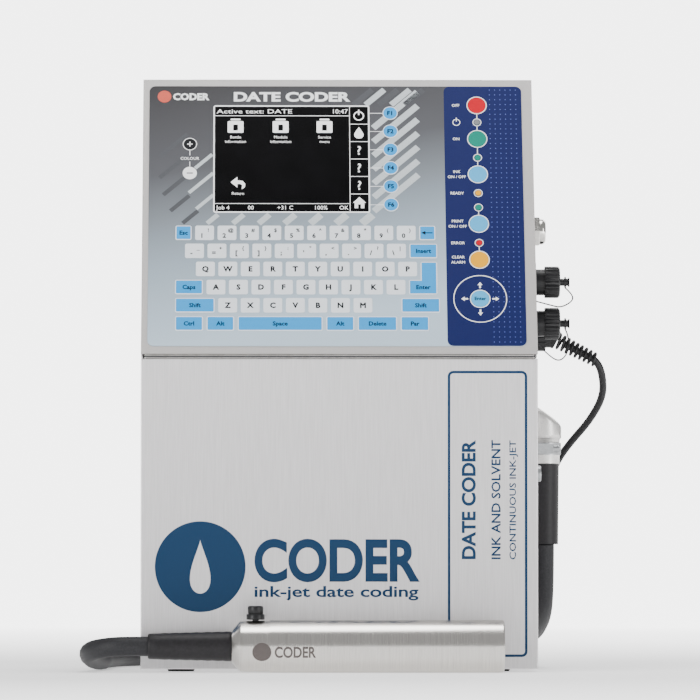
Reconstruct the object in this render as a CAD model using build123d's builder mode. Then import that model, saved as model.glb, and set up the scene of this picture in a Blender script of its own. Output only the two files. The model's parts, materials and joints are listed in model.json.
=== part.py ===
"""Continuous inkjet date coder: stainless cabinet, leaning console, hose and print head.

Millimetres, +X right, +Y back, +Z up. The origin is on the floor, midway between the feet.
"""

import math
import os

from build123d import *

os.makedirs("parts", exist_ok=True)

# Cabinet and its folded sheets
WIDTH = 320.0
DEPTH = 265.0
HEIGHT = 486.0
SHEET = 1.5
FLOOR_Z = 6.0
TOP_DROP = 2.0
LIP_Z = 256.0
TILT = 25.6
WINDOW_EDGE_LOW, WINDOW_EDGE_HIGH, WINDOW_EDGE_SIDE = 50.0, 34.0, 32.0
COVER_LAP = 14.0
COVER_SCREW_R = 3.8
COVER_SCREW_HEAD = 2.2
VENTS_AT = (-60.0, 110.0)
VENT_LONG, VENT_HIGH = 11.0, 3.0
VENT_PITCH_X, VENT_PITCH_Z = 14.0, 10.0

# Door, a full-width pan that covers the cabinet's front
DOOR_BOTTOM = 2.3
DOOR_TOP = 252.0
DOOR_DEPTH = 22.0
DOOR_GAP = 2.0
DOOR_CORNER = 1.0
PIVOT_IN = 12.0
PIVOT_BACK = 10.0
PIVOT_R = 2.0
PIVOT_PLATE = 1.5
PIVOT_LIFT = 2.2
PIVOT_EYE_R = 6.0
STRIKE_IN = 9.0
STRIKE_THICK = 2.0
STRIKE_H = 12.0
RUNNING = 0.05
CLEAR = 0.3

# Console lid, membrane, screen and keys, placed on the leaning face
LID_DEPTH = 16.0
LID_GAP = 1.0
LID_BARREL_R = 2.0
LID_BARREL_Y = -8.0
MEMBRANE = 0.6
MEMBRANE_LEFT, MEMBRANE_RIGHT = -154.8, 151.2
MEMBRANE_LOW, MEMBRANE_HIGH = 6.9, 248.4
MEMBRANE_CORNER = 5.0
SCREEN_LEFT, SCREEN_RIGHT = -101.0, 24.8
SCREEN_LOW, SCREEN_HIGH = 130.6, 229.1
KEY_PITCH = 18.23
KEY_ROW_PITCH = 16.7
KEY_LOW_ROW = 27.1
KEY_H = 13.4
KEY_GAP = 2.8
KEY_RAISE = 0.5
KEY_CORNER = 1.6
ROUND_KEY_X = 114.3
ROUND_KEY_R = 7.4
F_KEY_X = 43.0
F_KEY_R = 6.2
F_KEY_TOP = 222.9
F_KEY_PITCH = 17.2
BUTTON_TOP = 1.3
BUTTON_DEPTH = 1.0
BUTTON_TRAVEL = 0.5
LED_R = 2.6
BOARD = 1.6
BOARD_GAP = 0.5
BOARD_EDGE = 20.0
STANDOFF_R = 3.0
STANDOFF_XS = (-134.0, -10.0, 134.0)
STANDOFF_HEIGHTS = (26.0, 116.0)
DISPLAY_DEPTH = 9.0
DISPLAY_LAP = 2.0
PRINT_LIFT = 0.2
KNUCKLE_HALF = 24.0
HINGE_PIN_R = 1.0
HINGE_LEAF = 20.0
LEAF_THICK = 1.0

# Feet
FOOT_X = 127.7
FOOT_Y = 95.0
FOOT_R = 12.5
FOOT_TIP_R = 10.5
FOOT_BOLT_R = 2.7
FOOT_NECK_R = 5.0
FOOT_HEAD_R = 7.5
FOOT_HEAD = 2.0

# Right-hand wall fittings: y and z of each centre
PLUG_AT = (-52.5, 359.0)
UPPER_SOCKET_AT = (-32.5, 318.5)
LOWER_SOCKET_AT = (-32.5, 284.5)
CABLE_SOCKET_AT = (17.5, 275.0)
ELBOW_AT = (52.5, 200.5)
LOCK_AT = (-99.0, 160.0)
SOCKET_R = 10.7
SOCKET_BEHIND = 8.0
CABLE_SOCKET_R = 8.5
CABLE_FLANGE = 26.0
PLUG_HEX_R = 13.2
PLUG_DOME_R = 10.5
PLUG_STEP = 5.0
PLUG_THREAD_R = 8.0
LOCK_R = 6.5
LOCK_HEAD = 4.0
LOCK_SHAFT_R = 4.0
LOCK_SHAFT = 7.0
LOCK_SLOT_W, LOCK_SLOT_LONG, LOCK_SLOT_DEEP = 1.4, 9.0, 1.5
LOCK_CAM_W, LOCK_CAM_LONG, LOCK_CAM_THICK = 7.0, 15.0, 3.0
NUT_R = 11.5
NUT_RIBS = 16
NUT_START, NUT_END = 4.0, 13.0
RING_R = 4.5
RING_THICK = 1.4
RING_SET_BACK = 3.2
SOCKET_FLANGE = 31.0
SOCKET_PLATE = 2.5
FLANGE_CORNER = 3.5
SOCKET_WALL = 2.0
SOCKET_BORE = 7.0
SOCKET_CORE_R = 3.0
CAP_R = 13.0
CAP_START = 10.1
CAP_LONG = 12.5
CAP_WALL = 2.0
CAP_KNOB_R = 3.0
CAP_KNOB = 7.0
CAP_KNOB_LIP = 1.0
CAP_RIBS = 24
KNURL_R = 0.7

# Hose and its elbow
HOSE_D = 16.0
ELBOW_OUT = 14.0
ELBOW_R = 14.0
ELBOW_BORE_STEP = 1.4
ELBOW_THREAD_R = 10.0
ELBOW_FLANGE_R = 12.0
ELBOW_SLOPE = 35.0
ELBOW_FOOT_Z = 170.5
ELBOW_TOP_Z = 223.0
SLEEVE_R = 12.0
SLEEVE_LONG = 67.0
SLEEVE_TAPER = 0.6
LIE_GAP = 0.2
BAND_Z = 178.0
BAND_H = 10.0
BAND_GAP = 4.0
BAND_LUG_W, BAND_LUG_D = 13.0, 6.0
BAND_LUG_AT = 2.5
BAND_SCREW_R, BAND_SCREW_LONG = 3.2, 5.0
HOSE_COIL_AT = (-62.0, 254.0)
HOSE_COIL_R = 90.0
HOSE_TURNS = 3.25
HOSE_LAY = 16.2

# Cable, its strain relief, coil and plug
CABLE_D = 6.2
CABLE_COIL_AT = (90.0, 190.0)
CABLE_COIL_R = 35.0
CABLE_TURNS = 6.25
CABLE_LAY = 6.3
RELIEF_R = 6.4
RELIEF_TIP_R = 4.9
RELIEF_LONG = 43.0
RELIEF_DROOP = 27.0
RELIEF_STEP = 5.0
RELIEF_COLLAR_R = 8.0
RELIEF_COLLAR_END = 6.0
TETHER_D = 1.2
PLUG_NECK_W, PLUG_NECK_H = 26.0, 24.0
PLUG_FACE_W, PLUG_FACE_H = 36.0, 34.0
PLUG_GRIP, PLUG_FACE = 26.0, 6.0
PLUG_CORNER = 7.0
PIN_PITCH = 19.0
PIN_R, PIN_LONG = 2.4, 18.0

# Print head, lying in front of the door
HEAD_Y = -168.5
HEAD_R = 21.0
HEAD_WALL = 1.2
HEAD_NOSE = 2.0
JET_SLOT_LONG, JET_SLOT_W = 18.0, 5.0
HEAD_REAR_X = -79.0
HEAD_FRONT_X = 131.0
HEAD_TAIL_X = -86.4
HEAD_TAIL_R = 14.0
HEAD_SPIGOT = 28.0
HEAD_CLAMP_X = -56.0
HEAD_STEP = 0.6
KNOB_X = -67.5
KNOB_R = 7.35
KNOB_CAP_R = 6.3
KNOB_COLLAR, KNOB_CAP = 4.4, 6.6
SCREW_LONG = 13.3
SCREW_R = 2.5
HEAD_SLEEVE_X = -153.5
HEAD_SLEEVE_TIP_R = 10.5
HOSE_STUB = 14.0
HOSE_END_GAP = 1.2
CHASSIS_LOW = 10.0 - HEAD_R
CHASSIS_W, CHASSIS_H, CHASSIS_LONG = 24.0, 5.0, 128.0
NOZZLE_BODY_W, NOZZLE_BODY_H = 14.0, 17.0
NOZZLE_BODY_START, NOZZLE_BODY_END = 14.0, 52.0
NOZZLE_R, NOZZLE_LONG = 4.0, 6.0
CHARGE_START, CHARGE_LONG, CHARGE_GAP = 64.0, 10.0, 5.0
PLATE_START, PLATE_LONG, PLATE_GAP = 80.0, 30.0, 10.0
CATCHER_START, CATCHER_LONG, CATCHER_W = 116.0, 10.0, 5.0
ELECTRODE_H = 15.0

# Bottles and fluid system behind the door
BOTTLE_W = 68.0
BOTTLE_D = 58.0
BOTTLE_H = 150.0
BOTTLE_Y = -66.0
BOTTLE_XS = (-104.0, -26.0)
NECK_R = 17.0
NECK_H = 12.0
BOTTLE_CAP_R = 21.0
BOTTLE_CAP_H = 20.0
TRAY_FLOOR = 2.0
TRAY_RIM = 14.0
TRAY_WALL = 3.0
TRAY_PLAY = 0.5
TRAY_LIFT = 0.5
BOTTLE_CORNER, BOTTLE_SHOULDER = 8.0, 6.0
BOTTLE_CAP_ROOF = 3.0
BOTTLE_CAP_RIBS = 30
SHELF_Z = 246.0
PLATE_Y = 10.0
PLATE_THICK = 3.0
PLATE_EDGE = 24.0
SHELF_FRONT_GAP, SHELF_REAR_GAP = 24.0, 40.0
MANIFOLD_AT = (84.0, 176.0)
MANIFOLD_W, MANIFOLD_H, MANIFOLD_D = 110.0, 56.0, 22.0
VALVE_PITCH = 24.0
VALVE_W, VALVE_H, VALVE_D = 18.0, 30.0, 28.0
FILTER_AT = (112.0, -22.0)
FILTER_R, FILTER_H, FILTER_LIFT = 24.0, 104.0, 22.0
FILTER_ARM_W, FILTER_ARM_H, FILTER_ARM_D = 18.0, 20.0, 12.0
PUMP_AT = (54.0, 70.0)
PUMP_W, PUMP_HEAD, PUMP_MOTOR_R, PUMP_MOTOR = 46.0, 26.0, 20.0, 48.0
TANK_AT = (-20.0, 76.0)
TANK_W, TANK_D, TANK_H, TANK_CORNER = 230.0, 92.0, 110.0, 8.0
SUPPLY_AT = (-92.0, 10.0)
SUPPLY_W, SUPPLY_D, SUPPLY_H = 98.0, 130.0, 44.0
MAIN_BOARD_AT = (42.0, -6.0)
MAIN_BOARD_W, MAIN_BOARD_D = 150.0, 112.0
MAIN_POST_R, MAIN_POST_H, MAIN_POST_IN = 3.0, 8.0, 6.0
CHIPS_AT = ((20.0, -10.0), (70.0, 10.0))
CHIP_W, CHIP_H = 28.0, 4.0
FAN_SIZE = 80.0
FAN_DEPTH = 25.0
FAN_AT = (70.0, 400.0)
FAN_BORE_R = 37.5
FAN_HUB_R = 15.0
FAN_SHAFT_R = 2.0
FAN_SPOKE = 4.0
FAN_BLADES = 7
FAN_BLADE_W = 9.0
FAN_PLAY = 2.0
FAN_ROTOR_DEPTH = 14.0
GUARD_RING_RS = (12.0, 22.0, 32.0)
GUARD_WIRE = 2.0

half_w = WIDTH / 2
inner_x = half_w - SHEET
front_y = -DEPTH / 2
rear_y = DEPTH / 2
body_front = front_y + DOOR_DEPTH + DOOR_GAP
body_top = HEIGHT - TOP_DROP
tan_tilt = math.tan(math.radians(TILT))
cos_tilt = math.cos(math.radians(TILT))
sin_tilt = math.sin(math.radians(TILT))
console = Plane(origin=(0, front_y, LIP_Z), x_dir=(1, 0, 0), z_dir=(0, -cos_tilt, sin_tilt))
right_wall = Plane(origin=(half_w, 0, 0), x_dir=(0, 1, 0), z_dir=(1, 0, 0))
pivot_x = -half_w + PIVOT_IN
pivot_y = front_y + PIVOT_BACK


def save(part, name):
    """Label a finished piece and write its file."""
    part.label = name
    export_step(part, f"parts/{name}.step")


def lean_y(z, behind=0.0):
    """The y at height z of the plane that lies this far behind the console's face."""
    return front_y + (z - LIP_Z) * tan_tilt + behind / cos_tilt


def corner_radii(points):
    """The largest arc that each corner's two runs allow."""
    radii = []
    for before, corner, after in zip(points, points[1:], points[2:]):
        run_in = Vector(corner) - Vector(before)
        run_out = Vector(after) - Vector(corner)
        half_turn = math.radians(run_in.get_angle(run_out) / 2)
        radii.append(0.45 * min(run_in.length, run_out.length) / math.tan(half_turn))
    return radii


def cord_tube(name, points, diameter):
    """A round cord along straight runs joined by tangent arcs."""
    radii = corner_radii(points)
    with BuildPart() as tube:
        with BuildLine() as route:
            FilletPolyline(*points, radius=radii)
        path = route.wires()[0]
        with BuildSketch(Plane(origin=path @ 0, z_dir=path % 0)):
            Circle(diameter / 2)
        sweep(path=path)
    share = tube.part.volume / (math.pi * diameter**2 / 4 * path.length)
    print(name, "length", round(path.length), "volume share", round(share, 3))
    print(name, "radii", [round(radius, 1) for radius in radii])
    save(tube.part, name)


def coil_ring(name, centre, radius, diameter, turns, lay):
    """The outer shape of a stack of turns."""
    with BuildPart() as ring:
        with BuildSketch(Plane.XY.offset(LIE_GAP)):
            with Locations(centre):
                Circle(radius + diameter / 2)
                Circle(radius - diameter / 2, mode=Mode.SUBTRACT)
        extrude(amount=turns * lay + diameter)
    save(ring.part, name)


# ---------------------------------------------------------------- cabinet sheets
side_outline = [
    (body_front, FLOOR_Z),
    (rear_y, FLOOR_Z),
    (rear_y, body_top),
    (lean_y(body_top, LID_DEPTH + LID_GAP), body_top),
    (lean_y(DOOR_TOP + DOOR_GAP, LID_DEPTH + LID_GAP), DOOR_TOP + DOOR_GAP),
    (body_front, DOOR_TOP + DOOR_GAP),
]

with BuildPart() as side_panel_left:
    with BuildSketch(Plane.YZ.offset(-half_w)):
        Polygon(*side_outline, align=None)
    extrude(amount=SHEET)
save(side_panel_left.part, "side_panel_left")

wall_holes = [
    (PLUG_AT, PLUG_THREAD_R),
    (UPPER_SOCKET_AT, SOCKET_R),
    (LOWER_SOCKET_AT, SOCKET_R),
    (CABLE_SOCKET_AT, CABLE_SOCKET_R),
    (ELBOW_AT, ELBOW_THREAD_R),
    (LOCK_AT, LOCK_SHAFT_R + RUNNING),
]
with BuildPart() as side_panel_right:
    with BuildSketch(Plane.YZ.offset(inner_x)):
        Polygon(*side_outline, align=None)
        for centre, radius in wall_holes:
            with Locations(centre):
                Circle(radius, mode=Mode.SUBTRACT)
    extrude(amount=SHEET)
save(side_panel_right.part, "side_panel_right")

top_front = lean_y(body_top, LID_DEPTH + LID_GAP)
window_low, window_high = WINDOW_EDGE_LOW, body_top - WINDOW_EDGE_HIGH
window_half = half_w - WINDOW_EDGE_SIDE
with BuildPart() as cabinet_wrap:
    with BuildSketch(Plane.XY.offset(FLOOR_Z)):
        with Locations((0, body_front)):
            Rectangle(2 * inner_x, rear_y - body_front, align=(Align.CENTER, Align.MIN))
        with GridLocations(2 * FOOT_X, 2 * FOOT_Y, 2, 2):
            Circle(FOOT_NECK_R, mode=Mode.SUBTRACT)
    extrude(amount=SHEET)
    with BuildSketch(Plane.XY.offset(body_top - SHEET)):
        with Locations((0, top_front)):
            Rectangle(2 * inner_x, rear_y - top_front, align=(Align.CENTER, Align.MIN))
    extrude(amount=SHEET)
    with BuildSketch(Plane.XZ.offset(-rear_y)):
        with Locations((0, (FLOOR_Z + body_top) / 2)):
            Rectangle(2 * inner_x, body_top - FLOOR_Z)
        with Locations((0, (window_low + window_high) / 2)):
            Rectangle(2 * window_half, window_high - window_low, mode=Mode.SUBTRACT)
    extrude(amount=SHEET)
save(cabinet_wrap.part, "cabinet_wrap")

with BuildPart() as rear_cover:
    with BuildSketch(Plane.XZ.offset(-rear_y)):
        with Locations((0, (window_low + window_high) / 2)):
            RectangleRounded(
                2 * (window_half + COVER_LAP), window_high - window_low + 2 * COVER_LAP, 4
            )
        with Locations(FAN_AT):
            Circle(FAN_BORE_R - CLEAR, mode=Mode.SUBTRACT)
        with Locations(VENTS_AT):
            with GridLocations(VENT_PITCH_X, VENT_PITCH_Z, 8, 5):
                SlotOverall(VENT_LONG, VENT_HIGH, mode=Mode.SUBTRACT)
        with Locations(FAN_AT):
            for ring_r in GUARD_RING_RS:
                Circle(ring_r)
                Circle(ring_r - GUARD_WIRE, mode=Mode.SUBTRACT)
            for spoke_turn in (45, -45):
                Rectangle(2 * FAN_BORE_R + GUARD_WIRE, GUARD_WIRE, rotation=spoke_turn)
    extrude(amount=-SHEET)
save(rear_cover.part, "rear_cover")

with BuildPart() as cover_screws:
    with BuildSketch(Plane.XZ.offset(-rear_y - SHEET)):
        with Locations((0, (window_low + window_high) / 2)):
            with GridLocations(
                2 * window_half + COVER_LAP, (window_high - window_low + COVER_LAP) / 2, 2, 3
            ):
                Circle(COVER_SCREW_R)
    extrude(amount=-COVER_SCREW_HEAD)
    chamfer(cover_screws.faces().sort_by(Axis.Y)[-1].edges(), 0.6)
save(cover_screws.part, "rear_cover_screws")

with BuildPart() as feet:
    with BuildSketch(Plane.XY):
        with GridLocations(2 * FOOT_X, 2 * FOOT_Y, 2, 2):
            Circle(FOOT_TIP_R)
    foot_taper = -math.degrees(math.atan2(FOOT_R - FOOT_TIP_R, FLOOR_Z))
    extrude(amount=FLOOR_Z, taper=foot_taper)
    with BuildSketch(Plane.XY.offset(FLOOR_Z)):
        with GridLocations(2 * FOOT_X, 2 * FOOT_Y, 2, 2):
            Circle(FOOT_NECK_R)
    extrude(amount=SHEET)
    with BuildSketch(Plane.XY.offset(FLOOR_Z + SHEET)):
        with GridLocations(2 * FOOT_X, 2 * FOOT_Y, 2, 2):
            Circle(FOOT_HEAD_R)
    extrude(amount=FOOT_HEAD)
    with BuildSketch(Plane.XY):
        with GridLocations(2 * FOOT_X, 2 * FOOT_Y, 2, 2):
            Circle(FOOT_BOLT_R)
    extrude(amount=FLOOR_Z + SHEET + FOOT_HEAD, mode=Mode.SUBTRACT)
save(feet.part, "rubber_feet")

# ---------------------------------------------------------------- door
notch_h = PIVOT_PLATE + PIVOT_LIFT
upper_plate_z = DOOR_TOP - SHEET - PIVOT_LIFT - PIVOT_PLATE
lower_plate_z = FLOOR_Z
notch_zs = (upper_plate_z + PIVOT_PLATE / 2, lower_plate_z + PIVOT_PLATE / 2)
strike_x = inner_x - STRIKE_IN
strike_z = LOCK_AT[1]
with BuildPart() as front_door:
    with BuildSketch(Plane.XZ.offset(-front_y)):
        with Locations((0, (DOOR_BOTTOM + DOOR_TOP) / 2)):
            Rectangle(WIDTH, DOOR_TOP - DOOR_BOTTOM)
    extrude(amount=-DOOR_DEPTH)
    fillet(front_door.faces().sort_by(Axis.Y)[0].edges(), DOOR_CORNER)
    with BuildSketch(Plane.XZ.offset(-front_y - SHEET)):
        with Locations((0, (DOOR_BOTTOM + DOOR_TOP) / 2)):
            Rectangle(WIDTH - 2 * SHEET, DOOR_TOP - DOOR_BOTTOM - 2 * SHEET)
    extrude(amount=-DOOR_DEPTH, mode=Mode.SUBTRACT)
    with BuildSketch(Plane.YZ.offset(-half_w)):
        for notch_z in notch_zs:
            with Locations((front_y + SHEET + DOOR_DEPTH / 2, notch_z)):
                Rectangle(DOOR_DEPTH, notch_h)
    extrude(amount=SHEET, mode=Mode.SUBTRACT)
    with BuildSketch(Plane.XY.offset(DOOR_BOTTOM)):
        with Locations((pivot_x, pivot_y)):
            Circle(PIVOT_R + RUNNING)
    extrude(amount=DOOR_TOP - DOOR_BOTTOM, mode=Mode.SUBTRACT)
    with BuildSketch(Plane.XY.offset(strike_z - STRIKE_H / 2)):
        with Locations((strike_x, front_y + SHEET)):
            Rectangle(STRIKE_THICK, DOOR_DEPTH + DOOR_GAP, align=(Align.CENTER, Align.MIN))
        with Locations((strike_x + STRIKE_THICK / 2, front_y + DOOR_DEPTH + DOOR_GAP)):
            Rectangle(2 * STRIKE_THICK, STRIKE_THICK, align=(Align.MAX, Align.MIN))
    extrude(amount=STRIKE_H)
save(front_door.part, "front_door")

with BuildPart() as hinge_plates:
    for plate_z in (upper_plate_z, lower_plate_z):
        with BuildSketch(Plane.XY.offset(plate_z)):
            with Locations((pivot_x, pivot_y)):
                Circle(PIVOT_EYE_R)
                Rectangle(2 * PIVOT_EYE_R, body_front - pivot_y, align=(Align.CENTER, Align.MIN))
            if plate_z == upper_plate_z:
                with Locations((-inner_x, body_front)):
                    Rectangle(PIVOT_IN + 8, 22, align=(Align.MIN, Align.MIN))
        extrude(amount=PIVOT_PLATE)
    with BuildSketch(Plane.XY.offset(upper_plate_z)):
        with Locations((pivot_x, pivot_y)):
            Circle(PIVOT_R)
    extrude(amount=PIVOT_PLATE + PIVOT_LIFT + SHEET - 0.2)
    with BuildSketch(Plane.XY.offset(DOOR_BOTTOM + 0.2)):
        with Locations((pivot_x, pivot_y)):
            Circle(PIVOT_R)
    extrude(amount=lower_plate_z + PIVOT_PLATE - DOOR_BOTTOM - 0.2)
save(hinge_plates.part, "door_hinge_plates")

with BuildPart() as door_lock:
    with BuildSketch(right_wall):
        with Locations(LOCK_AT):
            Circle(LOCK_R)
    extrude(amount=LOCK_HEAD)
    chamfer(door_lock.faces().sort_by(Axis.X)[-1].edges(), 0.8)
    with BuildSketch(right_wall.offset(LOCK_HEAD)):
        with Locations(LOCK_AT):
            Rectangle(LOCK_SLOT_W, LOCK_SLOT_LONG)
    extrude(amount=-LOCK_SLOT_DEEP, mode=Mode.SUBTRACT)
    with BuildSketch(right_wall):
        with Locations(LOCK_AT):
            Circle(LOCK_SHAFT_R)
    extrude(amount=-SHEET - LOCK_SHAFT)
    with BuildSketch(right_wall.offset(-SHEET - LOCK_SLOT_DEEP)):
        with Locations(LOCK_AT):
            Rectangle(LOCK_CAM_W, LOCK_CAM_LONG, align=(Align.CENTER, Align.MIN))
    extrude(amount=-LOCK_CAM_THICK)
save(door_lock.part, "door_lock")

# ---------------------------------------------------------------- console lid
lid_rear = LID_BARREL_Y - LID_BARREL_R - CLEAR
lid_outline = [
    (front_y, LIP_Z),
    (lean_y(HEIGHT), HEIGHT),
    (lid_rear, HEIGHT),
    (lid_rear, LIP_Z + (lid_rear - lean_y(LIP_Z, LID_DEPTH)) / tan_tilt),
    (lean_y(LIP_Z, LID_DEPTH), LIP_Z),
]
lid_hollow = [
    (lean_y(LIP_Z + SHEET, SHEET), LIP_Z + SHEET),
    (lean_y(HEIGHT - SHEET, SHEET), HEIGHT - SHEET),
    (rear_y, HEIGHT - SHEET),
    (rear_y, LIP_Z + SHEET),
]
round_keys = {
    "off_button": 230.5,
    "on_button": 198.8,
    "ink_button": 165.5,
    "print_button": 119.3,
    "alarm_button": 86.0,
    "enter_button": 50.0,
}
f_key_heights = [F_KEY_TOP - n * F_KEY_PITCH for n in range(6)]
led_heights = (214.4, 181.1, 147.9, 134.5, 101.6)
screen_mid = ((SCREEN_LEFT + SCREEN_RIGHT) / 2, (SCREEN_LOW + SCREEN_HIGH) / 2)
screen_w = SCREEN_RIGHT - SCREEN_LEFT
screen_h = SCREEN_HIGH - SCREEN_LOW
barrel_z = HEIGHT - SHEET / 2
board_top = -SHEET - BUTTON_TRAVEL - BOARD_GAP


def face_holes(mode):
    """The openings that keys, lamps and the screen need in the console's face."""
    for height in round_keys.values():
        with Locations((ROUND_KEY_X, height)):
            Circle(ROUND_KEY_R + CLEAR, mode=mode)
    for height in led_heights:
        with Locations((ROUND_KEY_X, height)):
            Circle(LED_R, mode=mode)
    with Locations(screen_mid):
        Rectangle(screen_w, screen_h, mode=mode)


with BuildPart() as console_lid:
    with BuildSketch(Plane.YZ):
        Polygon(*lid_outline, align=None)
    extrude(amount=half_w, both=True)
    with BuildSketch(Plane.YZ):
        Polygon(*lid_hollow, align=None)
    extrude(amount=inner_x, both=True, mode=Mode.SUBTRACT)
    with BuildSketch(console):
        face_holes(Mode.ADD)
    extrude(amount=-SHEET - 1, mode=Mode.SUBTRACT)
    with BuildSketch(console.offset(-SHEET)):
        with Locations(*[(x, s) for x in STANDOFF_XS for s in STANDOFF_HEIGHTS]):
            Circle(STANDOFF_R)
    extrude(amount=board_top + SHEET)
    for centre_x in (-4 * KNUCKLE_HALF, 0, 4 * KNUCKLE_HALF):
        with BuildSketch(Plane.YZ.offset(centre_x)):
            with Locations((LID_BARREL_Y, barrel_z)):
                Circle(LID_BARREL_R)
                Rectangle(2 * LID_BARREL_R, SHEET, align=(Align.MAX, Align.CENTER))
        extrude(amount=KNUCKLE_HALF, both=True)
    with BuildSketch(Plane.YZ):
        with Locations((LID_BARREL_Y, barrel_z)):
            Circle(HINGE_PIN_R + RUNNING)
    extrude(amount=half_w, both=True, mode=Mode.SUBTRACT)
save(console_lid.part, "console_lid")

with BuildPart() as lid_hinge:
    for centre_x in (-2 * KNUCKLE_HALF, 2 * KNUCKLE_HALF):
        with BuildSketch(Plane.YZ.offset(centre_x)):
            with Locations((LID_BARREL_Y, barrel_z)):
                Circle(LID_BARREL_R)
            with Locations((LID_BARREL_Y, body_top)):
                Rectangle(HINGE_LEAF, LEAF_THICK, align=(Align.MIN, Align.MIN))
        extrude(amount=KNUCKLE_HALF - 2 * CLEAR, both=True)
    with BuildSketch(Plane.YZ):
        with Locations((LID_BARREL_Y, barrel_z)):
            Circle(HINGE_PIN_R)
    extrude(amount=5 * KNUCKLE_HALF - HINGE_PIN_R, both=True)
save(lid_hinge.part, "console_hinge")

with BuildPart() as membrane:
    with BuildSketch(console):
        with Locations(
            ((MEMBRANE_LEFT + MEMBRANE_RIGHT) / 2, (MEMBRANE_LOW + MEMBRANE_HIGH) / 2)
        ):
            RectangleRounded(
                MEMBRANE_RIGHT - MEMBRANE_LEFT, MEMBRANE_HIGH - MEMBRANE_LOW, MEMBRANE_CORNER
            )
        face_holes(Mode.SUBTRACT)
    extrude(amount=MEMBRANE)
save(membrane.part, "keypad_membrane")

# Each row: (left end of its first key, key widths in order); widths in key pitches.
key_rows = [
    (5, -132.8, [0.88] + [1.0] * 10 + [0.88]),
    (4, -124.9, [1.0] * 10 + [1.40]),
    (3, -116.0, [1.0] * 10 + [0.90]),
    (2, -132.9, [1.40] + [1.0] * 9 + [1.42]),
    (1, -132.8, [1.92] + [1.0] * 7),
    (1, 50.3, [1.88]),
    (0, -132.7, [1.40, 1.38, 3.92, 1.40, 1.90, 1.42]),
]
with BuildPart() as keyboard:
    for row, left, widths in key_rows:
        key_left = left
        for width in widths:
            key_w = width * KEY_PITCH - KEY_GAP
            key_s = KEY_LOW_ROW + row * KEY_ROW_PITCH
            with BuildSketch(console.offset(MEMBRANE)):
                with Locations((key_left + key_w / 2, key_s)):
                    RectangleRounded(key_w, KEY_H, KEY_CORNER)
            extrude(amount=KEY_RAISE)
            key_left += width * KEY_PITCH
    with BuildSketch(console.offset(MEMBRANE)):
        for height in f_key_heights:
            with Locations((F_KEY_X, height)):
                Circle(F_KEY_R)
    extrude(amount=KEY_RAISE)
save(keyboard.part, "keyboard_keys")


def button(name, x, height, radius):
    """A round key that stands in its hole in the console's face."""
    with BuildPart() as key:
        with BuildSketch(console.offset(-BUTTON_DEPTH)):
            with Locations((x, height)):
                Circle(radius)
        extrude(amount=BUTTON_DEPTH + BUTTON_TOP)
        top_rim = key.edges().sort_by(Axis((0, 0, 0), console.z_dir))[-1]
        fillet(top_rim, 0.4)
    save(key.part, name)


for name, height in round_keys.items():
    button(name, ROUND_KEY_X, height, ROUND_KEY_R)

with BuildPart() as keypad_board:
    with BuildSketch(console.offset(board_top)):
        with Locations((0, (MEMBRANE_LOW + MEMBRANE_HIGH) / 2)):
            Rectangle(WIDTH - 2 * BOARD_EDGE, MEMBRANE_HIGH - MEMBRANE_LOW - BOARD_EDGE)
        with Locations(screen_mid):
            Rectangle(
                screen_w + 4 * DISPLAY_LAP, screen_h + 4 * DISPLAY_LAP, mode=Mode.SUBTRACT
            )
    extrude(amount=-BOARD)
    with BuildSketch(console.offset(-SHEET)):
        with Locations(screen_mid):
            Rectangle(screen_w + 2 * DISPLAY_LAP, screen_h + 2 * DISPLAY_LAP)
    extrude(amount=-DISPLAY_DEPTH)
    with BuildSketch(console.offset(board_top)):
        for height in led_heights:
            with Locations((ROUND_KEY_X, height)):
                Circle(LED_R - CLEAR / 2)
    extrude(amount=-board_top + MEMBRANE + PRINT_LIFT)
save(keypad_board.part, "console_electronics")

with BuildPart() as screen_glass:
    with BuildSketch(console.offset(-SHEET)):
        with Locations(screen_mid):
            Rectangle(screen_w, screen_h)
    extrude(amount=SHEET + MEMBRANE - PRINT_LIFT)
save(screen_glass.part, "screen_window")

# ---------------------------------------------------------------- right-hand wall fittings
with BuildPart() as vent_plug:
    with BuildSketch(right_wall):
        with Locations(PLUG_AT):
            RegularPolygon(PLUG_HEX_R, 6)
    extrude(amount=PLUG_STEP)
    chamfer(vent_plug.faces().sort_by(Axis.X)[-1].edges(), 0.8)
    with BuildSketch(right_wall.offset(PLUG_STEP)):
        with Locations(PLUG_AT):
            Circle(PLUG_DOME_R)
    extrude(amount=PLUG_STEP)
    fillet(vent_plug.faces().sort_by(Axis.X)[-1].edges(), 3.5)
    with BuildSketch(right_wall):
        with Locations(PLUG_AT):
            Circle(PLUG_THREAD_R)
    extrude(amount=-SHEET - PLUG_STEP)
save(vent_plug.part, "vent_plug")


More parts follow.
